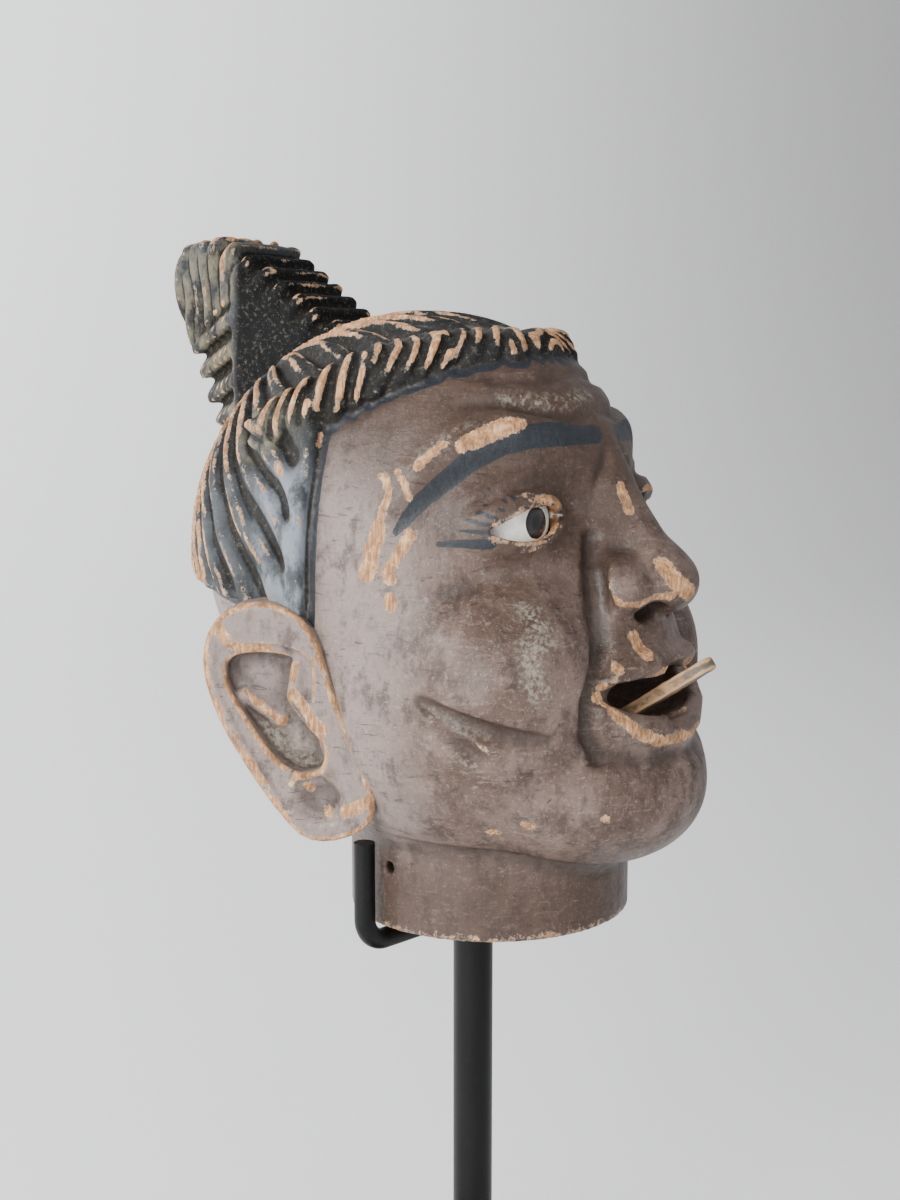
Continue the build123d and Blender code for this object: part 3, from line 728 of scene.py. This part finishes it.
def head_fields(clay, points):
    """What the head's paint needs to know at each vertex."""
    x, y, z = points.T
    hair_gap = clay.sample(points, np.clip(clay.hair, -5, 5))
    hair = 1 - smooth_step(hair_gap, 0.25, 0.55)
    rims = [(line, EYE_RIM_BARE) for line in almond_line(-1, 0.9, 1.2)]
    bare = np.maximum(marked(points, BARE_RIGHT, both=False), marked(points, BARE_BOTH))
    bare = np.maximum(bare, marked(points, rims, 0.6, both=False))
    near_rim = np.hypot(x, y - NECK_Y) < NECK_R + 1
    bare = np.maximum(bare, 0.55 * near_rim * (1 - smooth_step(z, 0.4, 3.6)))
    ink = np.maximum(marked(points, BROW_INK, 0.5), marked(points, LASHES, 0.45))
    ink = np.maximum(ink, (1 - smooth_step(hair_gap, 1.3, 2.1)) * (z > 58))
    ink = np.maximum(ink, marked(points, CRACK, 0.3, both=False))
    band = band_place(points)[0]
    temple = smooth_step(y, -17, 2) * smooth_step(z, 8, 26)
    brow_shade = smooth_step(z - 0.6 * y, 74, 92) * (1 - 0.75 * smooth_step(-y, 33, 40))
    dark = np.maximum(brow_shade, 1 - smooth_step(z, 8, 22))
    # painted sheen: the smooth hair in front, by the temples, gets a blue-grey highlight in the same field
    # as the dust marks
    painted_hair_sheen = hair * (1 - smooth_step(y, 17, 26)) * (1 - smooth_step(z, 84, 92))
    centre, _, out = eye_frame(-1)
    q = on_right(points)
    white = (almond(-1, -0.1, (-20, 8.4)).distance(*q.T) < 0.0) & ((q - centre) @ out > 3.0)
    return {"hair": hair, "bare": bare, "ink": ink * (1 - hair) * ~white, "white": white * 1.0,
            "dust": np.maximum(painted_hair_sheen, marked(points, DUST_RIGHT, 1.6, both=False)),
            "wear": relief(clay, points, 1.2), "hollow": relief(clay, points, 4.2),
            "pale": (1 - hair) * temple + hair * (1 - smooth_step(band, 3.5, 8.5)), "dark": dark}


def plain_fields(points, **given):
    """The given fields, and the rest of the paint's fields at nothing."""
    return {name: given.get(name, 0.0) + np.zeros(len(points)) for name in PAINT_FIELDS}


def ear_fields(clay, points):
    return plain_fields(points, bare=marked(points, EAR_BARE, both=False), pale=1.0,
                        dust=marked(points, EAR_DUST, 2.5, both=False),
                        wear=relief(clay, points, 1.0) * 3.0, hollow=relief(clay, points, 3.4))


def knot_fields(clay, points):
    behind = smooth_step(points[:, 1], 47, 50)
    return plain_fields(points, hair=1.0, wear=relief(clay, points, 1.0), hollow=relief(clay, points, 3.4),
                        pale=0.5 * behind, dark=1 - behind)


# ---------------------------------------------------------------- meshes

def new_mesh_object(name, points, quads):
    mesh = bpy.data.meshes.new(name)
    mesh.from_pydata(points.tolist(), [], quads.tolist())
    mesh.update()
    smoothed(mesh)
    return put(name, mesh)


def to_frame(points):
    return (points + (0, 0, RIM)) * MM


def split_shell(name, points, quads, keep_front):
    """One side of the seam plane, closed with a flat seam face."""
    piece = new_mesh_object(name, to_frame(points), quads)
    mesh = bmesh.new()
    mesh.from_mesh(piece.data)
    everything = mesh.verts[:] + mesh.edges[:] + mesh.faces[:]
    bmesh.ops.bisect_plane(mesh, geom=everything, dist=1e-7, plane_co=(0, SEAM_Y * MM, 0),
                           plane_no=(0, 1, 0),
                           clear_outer=keep_front, clear_inner=not keep_front)
    rim = [e for e in mesh.edges if len(e.link_faces) == 1]
    filled = bmesh.ops.triangle_fill(mesh, edges=rim, use_beauty=True, use_dissolve=False)
    for face in [g for g in filled["geom"] if isinstance(g, bmesh.types.BMFace)]:
        face.smooth = False
    for edge in rim:
        edge.smooth = False
    bmesh.ops.recalc_face_normals(mesh, faces=mesh.faces[:])
    mesh.to_mesh(piece.data)
    mesh.free()
    return piece


def vertex_points(piece):
    """Vertices in the sculpt's millimetres."""
    flat = np.empty(len(piece.data.vertices) * 3)
    piece.data.vertices.foreach_get("co", flat)
    return flat.reshape(-1, 3) / MM - (0, 0, RIM)


INSIDE_MERGED = 0.85         # share of the inside's faces that is merged away
WALL_REACH = 0.3             # a vertex this near to the cavity's surface is on it


def thin_inside(piece, inside):
    """Merges faces of the unseen inside, where the detail isn't needed."""
    group = piece.vertex_groups.new(name="inside")
    group.add(np.nonzero(inside)[0].tolist(), 1.0, "REPLACE")
    fewer = piece.modifiers.new("fewer", "DECIMATE")
    fewer.vertex_group = group.name
    fewer.ratio = 1 - INSIDE_MERGED * float(np.mean(inside))
    shown = piece.evaluated_get(bpy.context.evaluated_depsgraph_get())
    mesh = bpy.data.meshes.new_from_object(shown)
    piece.modifiers.remove(fewer)
    piece.vertex_groups.remove(group)
    piece.data = mesh


def is_inside(points):
    """True for the walls of the bore and of the cavity."""
    x, y, z = points.T
    skull = ellipsoid(*CAVITY).distance(x, y, z) < WALL_REACH
    bore = (np.hypot(x, y - NECK_Y) < BORE_R + WALL_REACH) & (z > BORE_LIP) & (z < BORE_TOP)
    return skull | bore


def set_fields(piece, fields):
    for name, values in fields.items():
        field = piece.data.attributes.new(name, "FLOAT", "POINT")
        field.data.foreach_set("value", np.asarray(values, np.float32))


# ---------------------------------------------------------------- camera, light and floor

CAMERA_AZIMUTH = -60.0
CAMERA_PITCH = 8.0
CAMERA_TURN = 0.825          # degrees that the camera looks left of the post
CAMERA_DISTANCE = 325.0
CAMERA_ABOVE = 18.0          # degrees from the neck rim up to the camera
LENS, SENSOR = 50.0, 36.0
STAGE_FLAT = 1.2             # metres: flat floor, then a quarter round up to a wall all about
STAGE_ROUND = 1.4
STAGE_WALL = 1.2
# painted light: the stage glows, and is painted from dark to pale across the picture
STAGE_GLOW = 0.9
STAGE_DARK, STAGE_PALE = (136, 136, 137), (252, 253, 254)
STAGE_FADE = (-0.5, 0.866)   # painted light: the stage is painted paler in this direction, the picture's left


def make_camera():
    azimuth, pitch = math.radians(CAMERA_AZIMUTH), math.radians(CAMERA_PITCH)
    height = RIM + CAMERA_DISTANCE * math.tan(math.radians(CAMERA_ABOVE))
    place = Vector((math.sin(azimuth) * CAMERA_DISTANCE, -math.cos(azimuth) * CAMERA_DISTANCE, height)) * MM
    turn = Matrix.Rotation(math.radians(CAMERA_TURN), 3, "Z")
    level = turn @ Vector((-math.sin(azimuth), math.cos(azimuth), 0))
    forward = Vector((level.x * math.cos(pitch), level.y * math.cos(pitch), -math.sin(pitch)))
    camera = put("camera", bpy.data.cameras.new("camera"))
    camera.data.lens = LENS
    camera.data.sensor_width = SENSOR
    camera.location = place
    camera.rotation_mode = "QUATERNION"
    camera.rotation_quaternion = forward.to_track_quat("-Z", "Y")
    bpy.context.scene.camera = camera


# name, place in metres, size, watts and colour of each soft box
SOFT_BOXES = [("window", (-1.0, 0.0, 0.55), 0.45, 13, (1.0, 0.985, 0.96)),
              ("behind", (-0.45, 0.85, 0.7), 0.5, 7, (1.0, 0.99, 0.97)),
              ("front", (-0.45, -0.95, 0.5), 0.6, 4, (0.96, 0.98, 1.0))]
LIT_HEIGHT = 60.0            # the boxes face the middle of the head, above the neck rim
SKY = (0.92, 0.94, 0.97, 1)
SKY_STRENGTH = 0.35


def area_light(name, place, target, size, watts, colour):
    light = bpy.data.lights.new(name, "AREA")
    light.energy, light.size, light.color = watts, size, colour
    lamp = put(name, light)
    lamp.location = place
    lamp.rotation_mode = "QUATERNION"
    lamp.rotation_quaternion = (Vector(place) - Vector(target)).to_track_quat("Z", "Y")


def make_light():
    for name, place, size, watts, colour in SOFT_BOXES:
        area_light(name, place, (0, 0, (RIM + LIT_HEIGHT) * MM), size, watts, colour)
    world = bpy.data.worlds.new("studio")
    bpy.context.scene.world = world
    world.use_nodes = True
    back = world.node_tree.nodes["Background"]
    back.inputs["Color"].default_value = SKY
    back.inputs["Strength"].default_value = SKY_STRENGTH


def make_floor():
    """A pale floor that turns up into a wall all round, so that no edge shows."""
    turns, rise = 96, 16
    profile = [(0.02, 0.0), (STAGE_FLAT, 0.0)]
    for i in range(1, rise + 1):
        angle = math.pi / 2 * i / rise
        profile.append((STAGE_FLAT + STAGE_ROUND * math.sin(angle), STAGE_ROUND * (1 - math.cos(angle))))
    profile.append((STAGE_FLAT + STAGE_ROUND, STAGE_ROUND + STAGE_WALL))
    points = [(r * math.cos(2 * math.pi * k / turns), r * math.sin(2 * math.pi * k / turns), h)
              for r, h in profile for k in range(turns)]
    quads = [(j * turns + k, j * turns + (k + 1) % turns, (j + 1) * turns + (k + 1) % turns,
              (j + 1) * turns + k)
             for j in range(len(profile) - 1) for k in range(turns)]
    quads.append(tuple(range(turns)))
    mesh = bpy.data.meshes.new("floor")
    mesh.from_pydata(points, [], quads)
    smoothed(mesh)
    floor = put("floor", mesh)
    paint = Paint("floor")
    # painted light: dark towards the picture's right, pale towards its left, and glowing
    across = paint.dot(paint.place, (STAGE_FADE[0] * MM, STAGE_FADE[1] * MM, 0))
    colour = paint.tint(srgb(*STAGE_DARK), STAGE_PALE, across, -0.9, 1.0)
    paint.finish(colour, paint.spread(paint.noise(300), 0.75, 0.9))
    paint.plug(paint.shader.inputs["Emission Color"], colour)
    paint.shader.inputs["Emission Strength"].default_value = STAGE_GLOW
    mesh.materials.append(paint.material)


# ---------------------------------------------------------------- materials

def srgb(*levels):
    """Linear colour from 0-255 screen levels."""
    return tuple(v / 255 / 12.92 if v <= 10 else ((v / 255 + 0.055) / 1.055) ** 2.4 for v in levels)


class Paint:
    """Builds one material. A value is a number, a colour or a node's output; sizes are millimetres."""

    def __init__(self, name):
        self.material = bpy.data.materials.new(name)
        self.material.use_nodes = True
        self.nodes, self.links = self.material.node_tree.nodes, self.material.node_tree.links
        self.shader = self.nodes["Principled BSDF"]
        place = self.nodes.new("ShaderNodeTexCoord").outputs["Object"]
        self.place = self.scaled(place, (1 / MM,) * 3)
        self.bump = None

    def plug(self, socket, value):
        if isinstance(value, bpy.types.NodeSocket):
            self.links.new(value, socket)
        elif hasattr(socket.default_value, "__len__"):
            value = (value,) * 3 if np.isscalar(value) else tuple(value)
            socket.default_value = value + (1,) * (len(socket.default_value) - len(value))
        else:
            socket.default_value = value

    def node(self, kind, inputs, output=0, **settings):
        """A new node's output. Inputs are pairs of a socket's name or number and its value."""
        node = self.nodes.new("ShaderNode" + kind)
        for name, value in settings.items():
            setattr(node, name, value)
        for name, value in inputs:
            self.plug(node.inputs[name], value)
        return node.outputs[output]

    def scaled(self, vector, factors):
        return self.node("VectorMath", enumerate((vector, factors)), operation="MULTIPLY")

    def dot(self, vector, direction):
        return self.node("VectorMath", enumerate((vector, direction)), "Value", operation="DOT_PRODUCT")

    def maths(self, operation, *values):
        return self.node("Math", enumerate(values), operation=operation)

    def plus(self, a, b):
        return self.maths("ADD", a, b)

    def times(self, a, b):
        return self.maths("MULTIPLY", a, b)

    def most(self, a, b):
        return self.maths("MAXIMUM", a, b)

    def field(self, name):
        return self.node("Attribute", (), "Fac", attribute_name=name)

    def noise(self, size, detail=4.0, rough=0.6, stretch=(1, 1, 1), warp=0.0):
        return self.node("TexNoise", (("Vector", self.scaled(self.place, stretch)), ("Scale", 1 / size),
                                      ("Detail", detail), ("Roughness", rough),
                                      ("Distortion", warp)), "Fac")

    def cells(self, size):
        return self.node("TexVoronoi", (("Vector", self.place), ("Scale", 1 / size)), "Distance")

    def ramp(self, value, low, high):
        """0 below low, 1 above high, smooth between; falls when low is above high."""
        start, end = (0.0, 1.0) if low < high else (1.0, 0.0)
        inputs = (("Value", value), ("From Min", min(low, high)), ("From Max", max(low, high)),
                  ("To Min", start), ("To Max", end))
        return self.node("MapRange", inputs, "Result", interpolation_type="SMOOTHSTEP")

    def spread(self, value, low, high):
        """Maps 0..1 to low..high."""
        return self.plus(self.times(value, high - low), low)

    def mix(self, share, a, b):
        return self.node("Mix", ((0, share), (6, a), (7, b)), 2, data_type="RGBA")

    def tint(self, colour, levels, value, low, high, share=1.0):
        """Turns the colour to the screen levels where the value passes from low to high."""
        mask = self.ramp(value, low, high)
        return self.mix(mask if share == 1.0 else self.times(mask, share), colour, srgb(*levels))

    def around_zero(self, noise, amount):
        """Noise of 0..1 turned to -amount/2..amount/2."""
        return self.times(self.plus(noise, -0.5), amount)

    def tints(self, colour, *rows):
        """Several tints, one on the other: levels, value, low, high and share of each."""
        for row in rows:
            colour = self.tint(colour, *row)
        return colour

    def raise_by(self, height, depth):
        """Adds relief: height 1 stands `depth` mm above height 0."""
        inputs = [("Distance", depth * MM), ("Height", height)]
        if self.bump is not None:
            inputs.append(("Normal", self.bump))
        self.bump = self.node("Bump", inputs, "Normal")

    def finish(self, colour, roughness, metallic=0.0):
        for name, value in (("Base Color", colour), ("Roughness", roughness), ("Metallic", metallic)):
            self.plug(self.shader.inputs[name], value)
        if self.bump is not None:
            self.links.new(self.bump, self.shader.inputs["Normal"])
        return self.material


def bare_wood(paint):
    """Colour of carved wood under the paint: fine upright grain, stains and lighter fresh spots."""
    grain = paint.noise(0.55, 3, 0.65, (1, 1, 0.14), 0.4)
    stain = paint.noise(2.6, 4, 0.7)
    colour = paint.tint(srgb(150, 104, 70), (206, 162, 118), grain, 0.35, 0.7)
    colour = paint.tint(colour, (108, 80, 58), stain, 0.48, 0.66, 0.7)
    return paint.tint(colour, (226, 190, 150), stain, 0.46, 0.34, 0.6), grain


def worn_paint_material(name, shine):
    """Old paint over carved wood: skin and hair, told apart by the vertex fields."""
    paint = Paint(name)
    hair, bare, ink, dust, white, wear, hollow, pale, dark = (paint.field(name) for name in PAINT_FIELDS)
    # painted shade: darker paint laid into carved hollows and narrow grooves, by how sunk the surface is
    hollow_shade = paint.ramp(hollow, -0.01, -0.16)
    crevice_shade = paint.ramp(wear, -0.02, -0.2)
    cloud, blotch = paint.noise(16, 4, 0.62), paint.noise(4.5, 5, 0.7, (1, 1, 0.6))
    grit, fine = paint.noise(0.9, 3, 0.7), paint.noise(0.38, 2, 0.6)
    scrape = paint.noise(1.5, 4, 0.7, (0.3, 0.3, 1.5), 0.8)

    skin = paint.tint(srgb(82, 65, 56), (114, 96, 88), cloud, 0.36, 0.62)
    skin = paint.mix(paint.times(pale, paint.ramp(blotch, 0.2, 0.6)), skin, srgb(146, 131, 126))
    skin = paint.mix(paint.times(dark, 0.85), skin, srgb(68, 52, 43))
    skin = paint.tints(skin, ((58, 45, 38), blotch, 0.44, 0.66, 0.75),
                       ((158, 147, 138), grit, 0.5, 0.74, paint.spread(dark, 0.3, 0.12)),
                       ((150, 138, 128), scrape, 0.6, 0.7, paint.spread(dark, 0.4, 0.2)),
                       ((48, 37, 31), scrape, 0.42, 0.32, 0.7),
                       ((196, 188, 178), fine, 0.66, 0.74, paint.spread(dark, 0.45, 0.2)))
    # painted shade in the carved hollows of the skin
    skin = paint.mix(paint.times(hollow_shade, 0.6), skin, srgb(48, 39, 34))
    # dust flecks on the skin; where the hair is, this mask holds the painted sheen instead
    flecked_dust_and_sheen = paint.times(dust, paint.ramp(paint.plus(grit, paint.times(blotch, 0.6)), 0.7, 0.98))
    skin = paint.mix(paint.times(flecked_dust_and_sheen, 0.7), skin, srgb(160, 153, 138))
    skin = paint.mix(white, skin, srgb(216, 213, 205))
    inked = paint.ramp(paint.plus(ink, paint.around_zero(grit, 0.7)), 0.36, 0.56)
    skin = paint.mix(inked, skin, paint.mix(grit, srgb(16, 18, 22), srgb(52, 56, 62)))

    lock = paint.tint(srgb(38, 39, 41), (74, 79, 84), cloud, 0.35, 0.65)
    lock = paint.mix(paint.times(pale, paint.ramp(blotch, 0.4, 0.6)), lock, srgb(140, 132, 110))
    # painted sheen: a blue-grey highlight on the smooth hair by the temples, with dust where the dust marks
    # reach the hair
    lock = paint.mix(paint.times(dust, paint.ramp(blotch, 0.62, 0.4)), lock, srgb(122, 129, 137))
    lock = paint.mix(paint.times(dark, 0.96), lock, srgb(9, 9, 10))
    # painted shade in the grooves and hollows of the hair
    lock = paint.mix(paint.times(paint.most(crevice_shade, hollow_shade), 0.92), lock, srgb(26, 23, 20))
    lock = paint.tints(lock, ((122, 118, 104), grit, 0.52, 0.74, 0.3),
                       ((170, 160, 140), fine, 0.68, 0.76, 0.5))

    coat = paint.mix(hair, skin, lock)
    ragged = paint.plus(paint.around_zero(paint.noise(1.6, 4, 0.75), 1.5), paint.around_zero(fine, 0.5))
    chipped = paint.plus(bare, ragged)
    edges = paint.plus(paint.times(wear, 3.2), paint.times(ragged, 0.9))
    edges = paint.plus(edges, paint.around_zero(paint.noise(7, 3, 0.6), 1.0))
    lost = paint.most(paint.ramp(chipped, 0.56, 0.62), paint.ramp(edges, 0.98, 1.06))
    rim = paint.most(paint.ramp(chipped, 0.47, 0.55), paint.ramp(edges, 0.86, 0.97))
    wood, grain = bare_wood(paint)
    colour = paint.mix(paint.times(rim, 0.55), coat, srgb(168, 152, 136))
    colour = paint.mix(lost, colour, wood)
    paint.raise_by(paint.noise(7, 2, 0.5), 0.5)
    paint.raise_by(blotch, 0.3)
    paint.raise_by(grit, 0.1)
    paint.raise_by(scrape, 0.08)
    paint.raise_by(paint.times(lost, grain), 0.12)
    paint.raise_by(paint.times(lost, -1.0), 0.16)
    smooth = paint.spread(blotch, 0.3, 0.58)
    rough = paint.most(smooth, paint.times(paint.most(lost, paint.most(flecked_dust_and_sheen, hair)), 0.75))
    paint.shader.inputs["Specular IOR Level"].default_value = shine
    return paint.finish(colour, rough)


def eye_material():
    """Glossy white enamel with a black iris, specks and a little crazing."""
    paint = Paint("eye_enamel")
    gaze = paint.plus(paint.field("gaze"), paint.around_zero(paint.noise(1.4, 3), 1.6))
    white = paint.tint(srgb(236, 236, 232), (214, 212, 202), paint.noise(2.2, 4), 0.35, 0.7)
    white = paint.tint(white, (70, 58, 48), paint.cells(2.3), 0.11, 0.07)
    white = paint.tint(white, (150, 138, 120), gaze, 52, 66, 0.5)
    iris = paint.tint(srgb(12, 12, 14), (40, 36, 38), gaze, 8.5, 10)
    iris = paint.tint(iris, (16, 16, 19), gaze, 14.5, 16)
    paint.raise_by(paint.noise(0.6, 3), 0.02)
    paint.shader.inputs["Coat Weight"].default_value = 0.5
    paint.shader.inputs["Coat Roughness"].default_value = 0.08
    return paint.finish(paint.mix(paint.ramp(gaze, 18, 19), iris, white),
                        paint.spread(paint.noise(1.5), 0.12, 0.3))


def tongue_material():
    """Old unpainted strip: rubbed light where it stands proud, handled dark and grey towards its tip."""
    paint = Paint("tongue_wood")
    along, wear = paint.field("along"), paint.field("wear")
    grain = paint.noise(0.5, 4, 0.65, (1, 0.12, 0.3), 0.4)
    stain = paint.noise(2.4, 4, 0.7)
    colour = paint.tint(srgb(112, 88, 66), (176, 142, 106), grain, 0.34, 0.68)
    far = paint.plus(along, paint.around_zero(stain, 9.0))
    colour = paint.tint(colour, (92, 86, 76), far, 25.5, 31)
    colour = paint.tint(colour, (64, 50, 40), stain, 0.5, 0.66, 0.75)
    colour = paint.tint(colour, (190, 152, 112), paint.plus(wear, paint.times(stain, 0.3)), 0.28, 0.4)
    paint.raise_by(grain, 0.12)
    return paint.finish(colour, paint.spread(stain, 0.5, 0.75))


def black_steel_material():
    paint = Paint("black_steel")
    rubbed = paint.noise(14, 5, 0.65, (1, 1, 0.25))
    grit = paint.noise(0.35, 2, 0.6)
    colour = paint.tint(srgb(7, 7, 8), (15, 15, 16), rubbed, 0.4, 0.68)
    colour = paint.tint(colour, (96, 94, 90), grit, 0.68, 0.76, 0.3)
    paint.raise_by(grit, 0.03)
    paint.shader.inputs["Specular IOR Level"].default_value = 0.22
    return paint.finish(colour, paint.spread(rubbed, 0.3, 0.5))


def steel_material():
    paint = Paint("steel")
    turned = paint.noise(0.3, 3, 0.6, (1, 0.08, 1))
    paint.raise_by(turned, 0.02)
    return paint.finish(paint.mix(turned, srgb(150, 150, 152), srgb(205, 205, 206)),
                        paint.spread(turned, 0.25, 0.45), 1.0)


def felt_material():
    paint = Paint("felt")
    fibre = paint.noise(0.5, 5, 0.8, warp=1.5)
    paint.raise_by(fibre, 0.3)
    return paint.finish(paint.mix(fibre, srgb(18, 18, 19), srgb(66, 66, 68)), 0.97)


def rubber_material():
    paint = Paint("cap_rubber")
    bloom = paint.noise(3.5, 4, 0.7)
    paint.raise_by(paint.noise(0.3, 2), 0.04)
    return paint.finish(paint.tint(srgb(30, 30, 31), (62, 61, 60), bloom, 0.45, 0.7), 0.8)


def plain_wood_material():
    paint = Paint("bare_wood")
    colour, grain = bare_wood(paint)
    paint.raise_by(grain, 0.1)
    return paint.finish(colour, 0.72)


def wire_material():
    paint = Paint("iron_wire")
    rust = paint.ramp(paint.noise(1.3, 5, 0.7), 0.45, 0.62)
    paint.raise_by(rust, 0.03)
    return paint.finish(paint.mix(rust, srgb(78, 76, 74), srgb(96, 58, 36)),
                        paint.spread(rust, 0.45, 0.85), 0.6)


# ---------------------------------------------------------------- eyes and tongue

GAZE_OUT = 10.8              # degrees that each iris looks outwards, and up
GAZE_UP = 1.0
TONGUE_RISE = 33.8           # degrees above level at rest
TONGUE_HALF_W, TONGUE_HALF_T = 3.45, 1.2
TONGUE_OUT, TONGUE_TAIL = 34.0, 11.0
TONGUE_DOWN, TONGUE_UP = 9.0, 4.0    # degrees either way from rest
TONGUE_CLEAR = 0.5
TONGUE_EDGE = 0.45


def make_eyeball(side):
    centre = EYE * (side, 1, 1)
    ball = bmesh.new()
    bmesh.ops.create_uvsphere(ball, u_segments=96, v_segments=64, radius=EYE_R)
    flat = box_mm("left_eye")[0][2] - RIM - EYE[2]
    cut = bmesh.ops.bisect_plane(ball, geom=ball.verts[:] + ball.edges[:] + ball.faces[:], dist=1e-5,
                                 plane_co=(0, 0, flat), plane_no=(0, 0, -1), clear_outer=True)
    edges = [e for e in cut["geom_cut"] if isinstance(e, bmesh.types.BMEdge)]
    bmesh.ops.contextual_create(ball, geom=edges)
    bmesh.ops.recalc_face_normals(ball, faces=ball.faces[:])
    mesh = bpy.data.meshes.new("eyeball")
    ball.to_mesh(mesh)
    ball.free()
    smoothed(mesh)
    piece = put("eyeball_left" if side > 0 else "eyeball_right", mesh)
    local = np.array([v.co for v in mesh.vertices])
    yaw, pitch = math.radians(GAZE_OUT), math.radians(GAZE_UP)
    gaze = np.array([side * math.sin(yaw) * math.cos(pitch), -math.cos(yaw) * math.cos(pitch),
                     math.sin(pitch)])
    angle = np.degrees(np.arccos(np.clip(local @ gaze / np.linalg.norm(local, axis=1), -1, 1)))
    mesh.vertices.foreach_set("co", to_frame(local + centre).ravel())
    set_fields(piece, {"gaze": angle})
    return piece


def sculpt_tongue():
    """A flat strip with a round tip and softened edges, a little uneven."""
    clay = Clay((-6, -54, 20), (6, -8, 58), 0.3)
    x, y, z = clay.grid()
    rise = math.radians(TONGUE_RISE)
    out, up = (TONGUE_PIVOT[1] - y) + 0 * x, z - TONGUE_PIVOT[2]
    along = out * math.cos(rise) + up * math.sin(rise)
    across = -out * math.sin(rise) + up * math.cos(rise)
    points = np.stack(np.broadcast_arrays(x, y, z), -1)
    uneven = 0.10 * wobble(points, 5, 41) + 0.06 * wobble(points, 1.6, 42)
    tip = TONGUE_OUT - TONGUE_HALF_W
    beyond = np.maximum(np.maximum(along - tip, -along - TONGUE_TAIL + 0.2), 0)
    square_tail = np.maximum(np.abs(x) - TONGUE_HALF_W, -along - TONGUE_TAIL)
    plan = np.where(along > 0, np.hypot(beyond, x) - TONGUE_HALF_W, square_tail)
    body = smooth_max(plan, np.abs(across) - TONGUE_HALF_T, TONGUE_EDGE)
    hub = np.maximum(np.hypot(along, across) - 2.4, np.abs(x) - TONGUE_HALF_W)
    body = smooth_min(body, hub, 0.4) + uneven.astype(np.float32)
    clay.d = np.maximum(body, 0.85 - np.hypot(along, across) + 0 * x).astype(np.float32)
    hole = np.hypot(x, along + TONGUE_TAIL - 3.0) - 1.0
    clay.d = np.maximum(clay.d, -hole).astype(np.float32)
    return clay


def tongue_fields(clay, points):
    rise = math.radians(TONGUE_RISE)
    forward, up = TONGUE_PIVOT[1] - points[:, 1], points[:, 2] - TONGUE_PIVOT[2]
    along = forward * math.cos(rise) + up * math.sin(rise)
    return {"along": along, "wear": relief(clay, points, 0.9)}


# ---------------------------------------------------------------- the scene

SKIN_SHINE, HAIR_SHINE = 0.34, 0.12


def dress(piece, material, node, body):
    """Gives a piece its material and its body, and hides the CAD node that it stands for."""
    piece.data.materials.append(material)
    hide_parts(node)
    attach(piece, body)


make_camera()
make_light()
make_floor()

head = sculpt_head()
head_points, head_quads = head.mesh()
face = split_shell("face", head_points, head_quads, True)
back = split_shell("back_of_head", head_points, head_quads, False)
for piece in (face, back):
    thin_inside(piece, is_inside(vertex_points(piece)))
    set_fields(piece, head_fields(head, vertex_points(piece)))
ear = sculpt_ear()
ear_points, ear_quads = ear.mesh()
right_ear = new_mesh_object("ear_right", to_frame(ear_points), ear_quads)
left_ear = new_mesh_object("ear_left", to_frame(ear_points * (-1, 1, 1)), ear_quads[:, ::-1])
for piece in (right_ear, left_ear):
    set_fields(piece, ear_fields(ear, ear_points))
knot_clay = sculpt_knot()
knot_points, knot_quads = knot_clay.mesh()
knot = new_mesh_object("top_knot", to_frame(knot_points), knot_quads)
set_fields(knot, knot_fields(knot_clay, knot_points))
skin_paint = worn_paint_material("worn_paint", SKIN_SHINE)
hair_paint = worn_paint_material("worn_hair_paint", HAIR_SHINE)
for piece, node, slot in ((face, "face_shell", "face_paint"), (back, "back_shell", "hair_paint"),
                          (right_ear, "right_ear", "face_paint"), (left_ear, "left_ear", "face_paint"),
                          (knot, "topknot", "hair_paint")):
    dress(piece, hair_paint if piece is knot else skin_paint, node, "head")

enamel = eye_material()
for side, node, body in ((-1, "right_eye", "eye_right"), (1, "left_eye", "eye_left")):
    dress(make_eyeball(side), enamel, node, body)
strip = sculpt_tongue()
strip_points, strip_quads = strip.mesh()
tongue = new_mesh_object("tongue_strip", to_frame(strip_points), strip_quads)
set_fields(tongue, tongue_fields(strip, strip_points))
dress(tongue, tongue_material(), "tongue", "tongue_body")

black_steel, plain_wood, wire = black_steel_material(), plain_wood_material(), wire_material()
for material, nodes in ((black_steel, ("base_plate", "post", "neck_hook")),
                        (felt_material(), ("base_felt",)),
                        (steel_material(), ("base_screw",)), (rubber_material(), ("post_cap",)),
                        (plain_wood, ("right_eye_crank", "left_eye_crank", "eye_link")),
                        (wire, ("right_eye_pin", "left_eye_pin", "tongue_pin"))):
    for node in nodes:
        frame["nodes"][node].data.materials.clear()
        frame["nodes"][node].data.materials.append(material)
